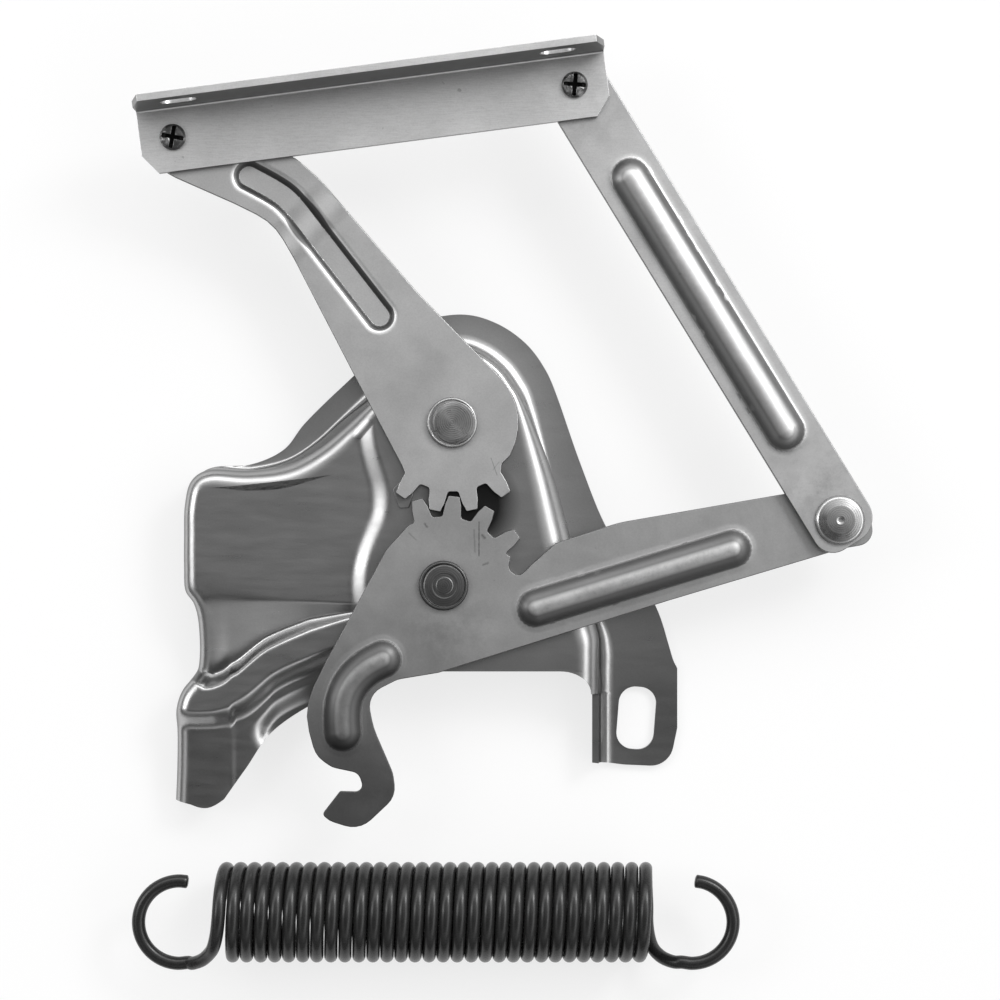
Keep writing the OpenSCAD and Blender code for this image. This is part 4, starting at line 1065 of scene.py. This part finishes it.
def base_cutters():
    """What is cut out of the sheet: round the ear's outline, its slot and the side holes."""
    around = rounded([*EAR_SIDES, [-26, -40, 0], [40, -40, 0], [40, 20.7, 0]])
    slot = rounded([[sx * EAR_SLOT[0] / 2, sy * EAR_SLOT[1] / 2, 0.44 * EAR_SLOT[0]]
                    for sx, sy in ((1, 1), (-1, 1), (-1, -1), (1, -1))])
    solids = [prism(anticlockwise(around), -1, 14),
              prism(turned(slot, EAR_SLOT_LEAN, (0, 0)), -1, SHEET + 1)]
    for y, z in SIDE_HOLES:
        points, faces = prism(circle((y, z), 4.5, 40), -186, -170)
        solids.append((points[:, [2, 0, 1]], faces))
    all_points, all_faces = [], []
    for points, faces in solids:
        all_faces += [tuple(k + len(all_points) for k in f) for f in faces]
        all_points += list(points)
    return np.array(all_points), all_faces


def subtract(obj, cutter):
    cut = obj.modifiers.new("cut", "BOOLEAN")
    cut.object = cutter
    cut.operation = "DIFFERENCE"
    cut.solver = "EXACT"
    apply_modifiers(obj)
    bpy.data.objects.remove(cutter)


bracket = new_object("base_bracket_sheet", *base_sheet(), BASE)
subtract(bracket, new_object("base_cutter", *base_cutters(), BASE))
bracket.data.shade_smooth()
bracket.data.set_sharp_from_angle(angle=math.radians(50))
place(bracket, "base", "base_steel", "base_bracket")

# A small flat pad on the plateau's left edge, in a darker tone of steel as painted shade
pad = new_object("base_rest_pad", *prism(anticlockwise(rounded(REST_PAD, 20)), 23.2, 24.8), PAD_SHADED)
bevel(pad, 0.3, 3, 40).harden_normals = True
apply_modifiers(pad)
place(pad, "base", "base_steel")

# Arms and link
ARM_BACK = 25.15
LINK_FACE, LINK_BACK = 32.5, 29.5
LOWER_REST, UPPER_REST, LINK_REST = 9.4, 134.4, 121.455
BEAD_OFFSETS = [7.4 * f for f in (0, 0.2, 0.4, 0.6, 0.75, 0.86, 0.93, 0.98, 1.03, 1.1, 1.2, 1.35)]
CHANNEL_OFFSETS = (0, 2, 3.68, 3.85, 4.1, 4.4, 4.8, 5.3, 5.9, 6.6, 7.2, 7.7, 8.3)


def arm_piece(node, material, face_z, back_z, height, extra, bores, outer=None, under=None):
    """One of the arms or the link, from its outline in the CAD and the height of its face above flat sheet."""
    outer = outline_loops(node, back_z, False)[0] if outer is None else outer
    under = under or (lambda x, y: 0.86 * height(x, y))
    sheet = sheet_piece(node + "_sheet", [outer, *[circle(c, r)[::-1] for c, r in bores]],
                        lambda x, y: face_z + height(x, y), lambda x, y: back_z + under(x, y), material,
                        np.concatenate([*extra, grid_points(outer)]))
    place(sheet, frame["nodes"][node]["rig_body"], "arm_steel", node)


link_bead = turned([[40.4, 0], [154.4, 0]], LINK_REST, LINK)
arm_piece("front_link", LINK_ZINC, LINK_FACE, LINK_BACK,
          lambda x, y: bead_rise(path_distance(link_bead, x, y), 7.4, 3.6),
          [along_path(link_bead, BEAD_OFFSETS, 3)], [(LINK, BORE_R), (FRONT, 3.4)])

lower_bead = turned([[33.8, -14.4], [112.4, -4.2]], LOWER_REST, LOWER)
tail_bead = smooth_path(turned([[-27.8, -24.2], [-33.4, -26], [-38.6, -29], [-42.8, -33.2], [-45.6, -38.4],
                                [-47, -44], [-47.6, -49.6]], LOWER_REST, LOWER), 40)


def lower_height(x, y):
    return np.maximum(*[bead_rise(path_distance(bead, x, y), 7.0, 3.4) for bead in (lower_bead, tail_bead)])


arm_piece("lower_arm", LOWER_ZINC, ARM_FACE, ARM_BACK, lower_height,
          [along_path(lower_bead, BEAD_OFFSETS, 3), along_path(tail_bead, BEAD_OFFSETS, 2)],
          [(LOWER, BORE_R), (LINK, 6.0)])

# The upper arm: a joggle lifts its far end, and a channel with rounded shoulders is pressed into its face
JOGGLE, JOGGLE_START, JOGGLE_WIDTH = 4.35, 85.0, 18.0
CHANNEL_DEPTH = 2.2
SHOULDER_R, FLOOR_HALF, CHANNEL_HALF = 4.4, 3.8, 7.6
channel = smooth_path([[-150.66, 211.03], [-146.2, 208.7], [-141.9, 206.3], [-136.9, 203.0], [-132.7, 198.7],
                       [-127.8, 192.5], [-114.2, 175.0], [-100.5, 157.4]], 57)


def joggle_height(x, y):
    a = math.radians(UPPER_REST)
    along = (x - UPPER[0]) * math.cos(a) + (y - UPPER[1]) * math.sin(a)
    return JOGGLE * ease((along - JOGGLE_START) / JOGGLE_WIDTH)


def channel_drop(x, y):
    d = path_distance(channel, x, y)
    fall = SHOULDER_R - np.sqrt(np.maximum(SHOULDER_R**2 - np.clip(CHANNEL_HALF - d, 0, SHOULDER_R) ** 2, 0))
    return np.where(d < FLOOR_HALF, CHANNEL_DEPTH, np.minimum(fall, CHANNEL_DEPTH))


def bulge_drop(x, y):
    return CHANNEL_DEPTH * (1 - ease((path_distance(channel, x, y) - 5.4) / 3))


def joggle_rows():
    along = np.linspace(JOGGLE_START, JOGGLE_START + JOGGLE_WIDTH, 13)
    return turned([[s, y] for s in along for y in np.arange(-33, 5, 2)], UPPER_REST, UPPER)


arm_piece("upper_arm", UPPER_ZINC, ARM_FACE, ARM_BACK, lambda x, y: joggle_height(x, y) - channel_drop(x, y),
          [along_path(channel, CHANNEL_OFFSETS, 0.8), joggle_rows()], [(UPPER, BORE_R), (REAR, 3.05)],
          outline_loops("upper_arm", None, True)[0],
          lambda x, y: joggle_height(x, y) - bulge_drop(x, y))

# Rail, rings and nuts
dressed("bonnet_rail", RAIL_ZINC, "rail_steel", 0.3)
for node in ("upper_pivot_spacer", "upper_pivot_washer", "lower_pivot_spacer", "lower_pivot_washer",
             "link_pivot_spacer", "link_pivot_washer", "front_rail_washer", "front_rail_nut",
             "rear_rail_washer", "rear_rail_nut"):
    dressed(node, WASHER, "washer_steel", 0.15, 2)

# Rivets: centre, height of the seat, length of the shank, material, slot, the radius within which the head's
# face is off centre and by how much, then the head's profile [r, z above the seat, radius]. The tail and the
# shank are as in the CAD
RIVETS = {
    "upper_pivot_rivet": (UPPER, 28.5, 8.2, UPPER_RIVET, "rivet_steel", 8.3, 0.9, [
        [9.8, 0, 0], [9.8, 1.7, 0.7], [9.0, 2.1, 0.3], [8.6, 1.75, 0.25], [8.2, 1.75, 0.15], [8.05, 2.3, 0.3],
        [6.5, 2.45, 1], [0, 2.6, 0]]),
    "lower_pivot_rivet": (LOWER, 28.5, 8.2, LOWER_RIVET, "rivet_steel", 8.3, 0.4, [
        [9.6, 0, 0], [9.6, 1.5, 0.5], [9.1, 2.3, 0.5], [8.45, 2.3, 0.2], [8.2, 1.6, 0.2], [7.6, 1.9, 0.5],
        [5.0, 2.1, 0.4], [4.6, 2.0, 0.3], [3.4, 2.05, 0.4], [3.0, 2.2, 0.3], [0, 2.3, 0]]),
    "link_pivot_rivet": (LINK, 32.65, 8.7, LINK_RIVET, "link_rivet_steel", 0, 0, [
        [9.65, 0, 0], [9.65, 0.9, 0.6], [8.6, 1.7, 1.5], [5.5, 2.4, 2], [1.6, 2.6, 0.8], [1.0, 2.4, 0.3],
        [0, 2.25, 0]])}
for node, (centre, seat, shank, material, slot, limit, shift, head) in RIVETS.items():
    tail = [[0, -shank - 1.8, 0], [7.4, -shank - 1.8, 0.8], [8.4, -shank - 0.8, 0.8], [8.4, -shank, 0],
            [6, -shank, 0], [6, 0, 0]]
    profile = [[r, z + seat] for r, z in round_profile([*tail, *head])]
    moved = [shift if r < limit and z > seat + 1 else 0 for r, z in profile]
    skin = lathe(node + "_skin", profile, centre, material, moved)
    skin.data.set_sharp_from_angle(angle=math.radians(60))
    place(skin, frame["nodes"][node]["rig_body"], slot, node)

# Screws, each with its recess turned as in the photograph and cut wider
for node, centre, turn in (("rear_rail_screw", REAR, -10), ("front_rail_screw", FRONT, -5)):
    screw = dressed(node, SCREW, "black_screw", 0.2, 3)
    about = Matrix.Translation((centre[0] * MM, centre[1] * MM, 0))
    screw.data.transform(about @ Matrix.Rotation(math.radians(turn - 40), 4, "Z") @ about.inverted())
    for side in (0, 90):
        wing = turned(rounded([[4.3, 0.8, 0.4], [-4.3, 0.8, 0.4], [-4.3, -0.8, 0.4], [4.3, -0.8, 0.4]], 30),
                      turn + side, centre)
        subtract(screw, new_object("wing", *prism(wing, RECESS_FLOOR, 39), SCREW))

# Spring
SPRING_MIDDLE, SPRING_AXIS = (-78.9, -74.3), 19.45
WIRE_R, COIL_R, PITCH, TURNS = 2.6, 16.85, 5.45, 30
HALF_COIL = TURNS * PITCH / 2
HOOK_CENTRE, HOOK_R, HOOK_LIFT = HALF_COIL + 18, 16.05, 3.9
LEFT_NECK = [[2.2, -6.4, 15.4], [3.7, -11.7, 12], [5.6, -14.8, 8.4], [8.8, -17.9, 4.6], [12.8, -19.7, 1.4]]
RIGHT_NECK = [[1.3, -6.4, -15.6], [2, -12, -12], [3.6, -15.8, -8.2], [6.8, -18.4, -4.5], [11, -19.6, -1.3]]


def hook(neck, start, end):
    a = np.radians(np.linspace(start, end, 15))
    arc = np.stack([HOOK_CENTRE + HOOK_R * np.cos(a), HOOK_R * np.sin(a) - HOOK_LIFT, 0 * a], 1)
    return np.concatenate([np.array(neck) + [HALF_COIL, 0, 0], arc])


def tube(name, path, material):
    """A round wire along a path, with slightly rounded ends."""
    way = unit(np.gradient(path, axis=0))
    out = np.cross(way[0], (0.3, 0.5, 0.8))
    ends = ((0.0, 0.55), (0.25, 0.85), (0.6, 1.0))
    stations = [(path[0] + way[0] * d, way[0], s) for d, s in ends]
    stations += [(p, w, 1.0) for p, w in zip(path[2:-2], way[2:-2])]
    stations += [(path[-1] - way[-1] * d, way[-1], s) for d, s in ends[::-1]]
    a = np.arange(WIRE_SIDES) * 2 * math.pi / WIRE_SIDES
    rows = []
    for point, ahead, size in stations:
        out = unit(out - ahead * (out @ ahead))
        side = np.cross(ahead, out)
        rows.append(point + size * WIRE_R * (np.outer(np.cos(a), out) + np.outer(np.sin(a), side)))
    last = (len(rows) - 1) * WIRE_SIDES
    faces = []
    for first in range(0, last, WIRE_SIDES):
        faces += band(first, first + WIRE_SIDES, WIRE_SIDES)
    faces += [tuple(range(WIRE_SIDES))[::-1], tuple(range(last, last + WIRE_SIDES))]
    return new_object(name, np.concatenate(rows), faces, material)


def spring_path():
    turn = np.linspace(-0.25, TURNS + 0.25, int((TURNS + 0.5) * 14) + 1)
    a = 2 * math.pi * turn
    coil = np.stack([-HALF_COIL + PITCH * turn, COIL_R * np.cos(a), -COIL_R * np.sin(a)], 1)
    left = hook(LEFT_NECK, 258, 462)[::-1] * (-1, 1, 1)
    keys = np.concatenate([left, coil, hook(RIGHT_NECK, 256, 446)])
    u = np.linspace(0, len(keys) - 1, (len(keys) - 1) * 4 + 1)
    return spline(keys, u) + (*SPRING_MIDDLE, SPRING_AXIS)


place(tube("spring_wire", spring_path(), SPRING), "base", "spring_black", "counterbalance_spring")
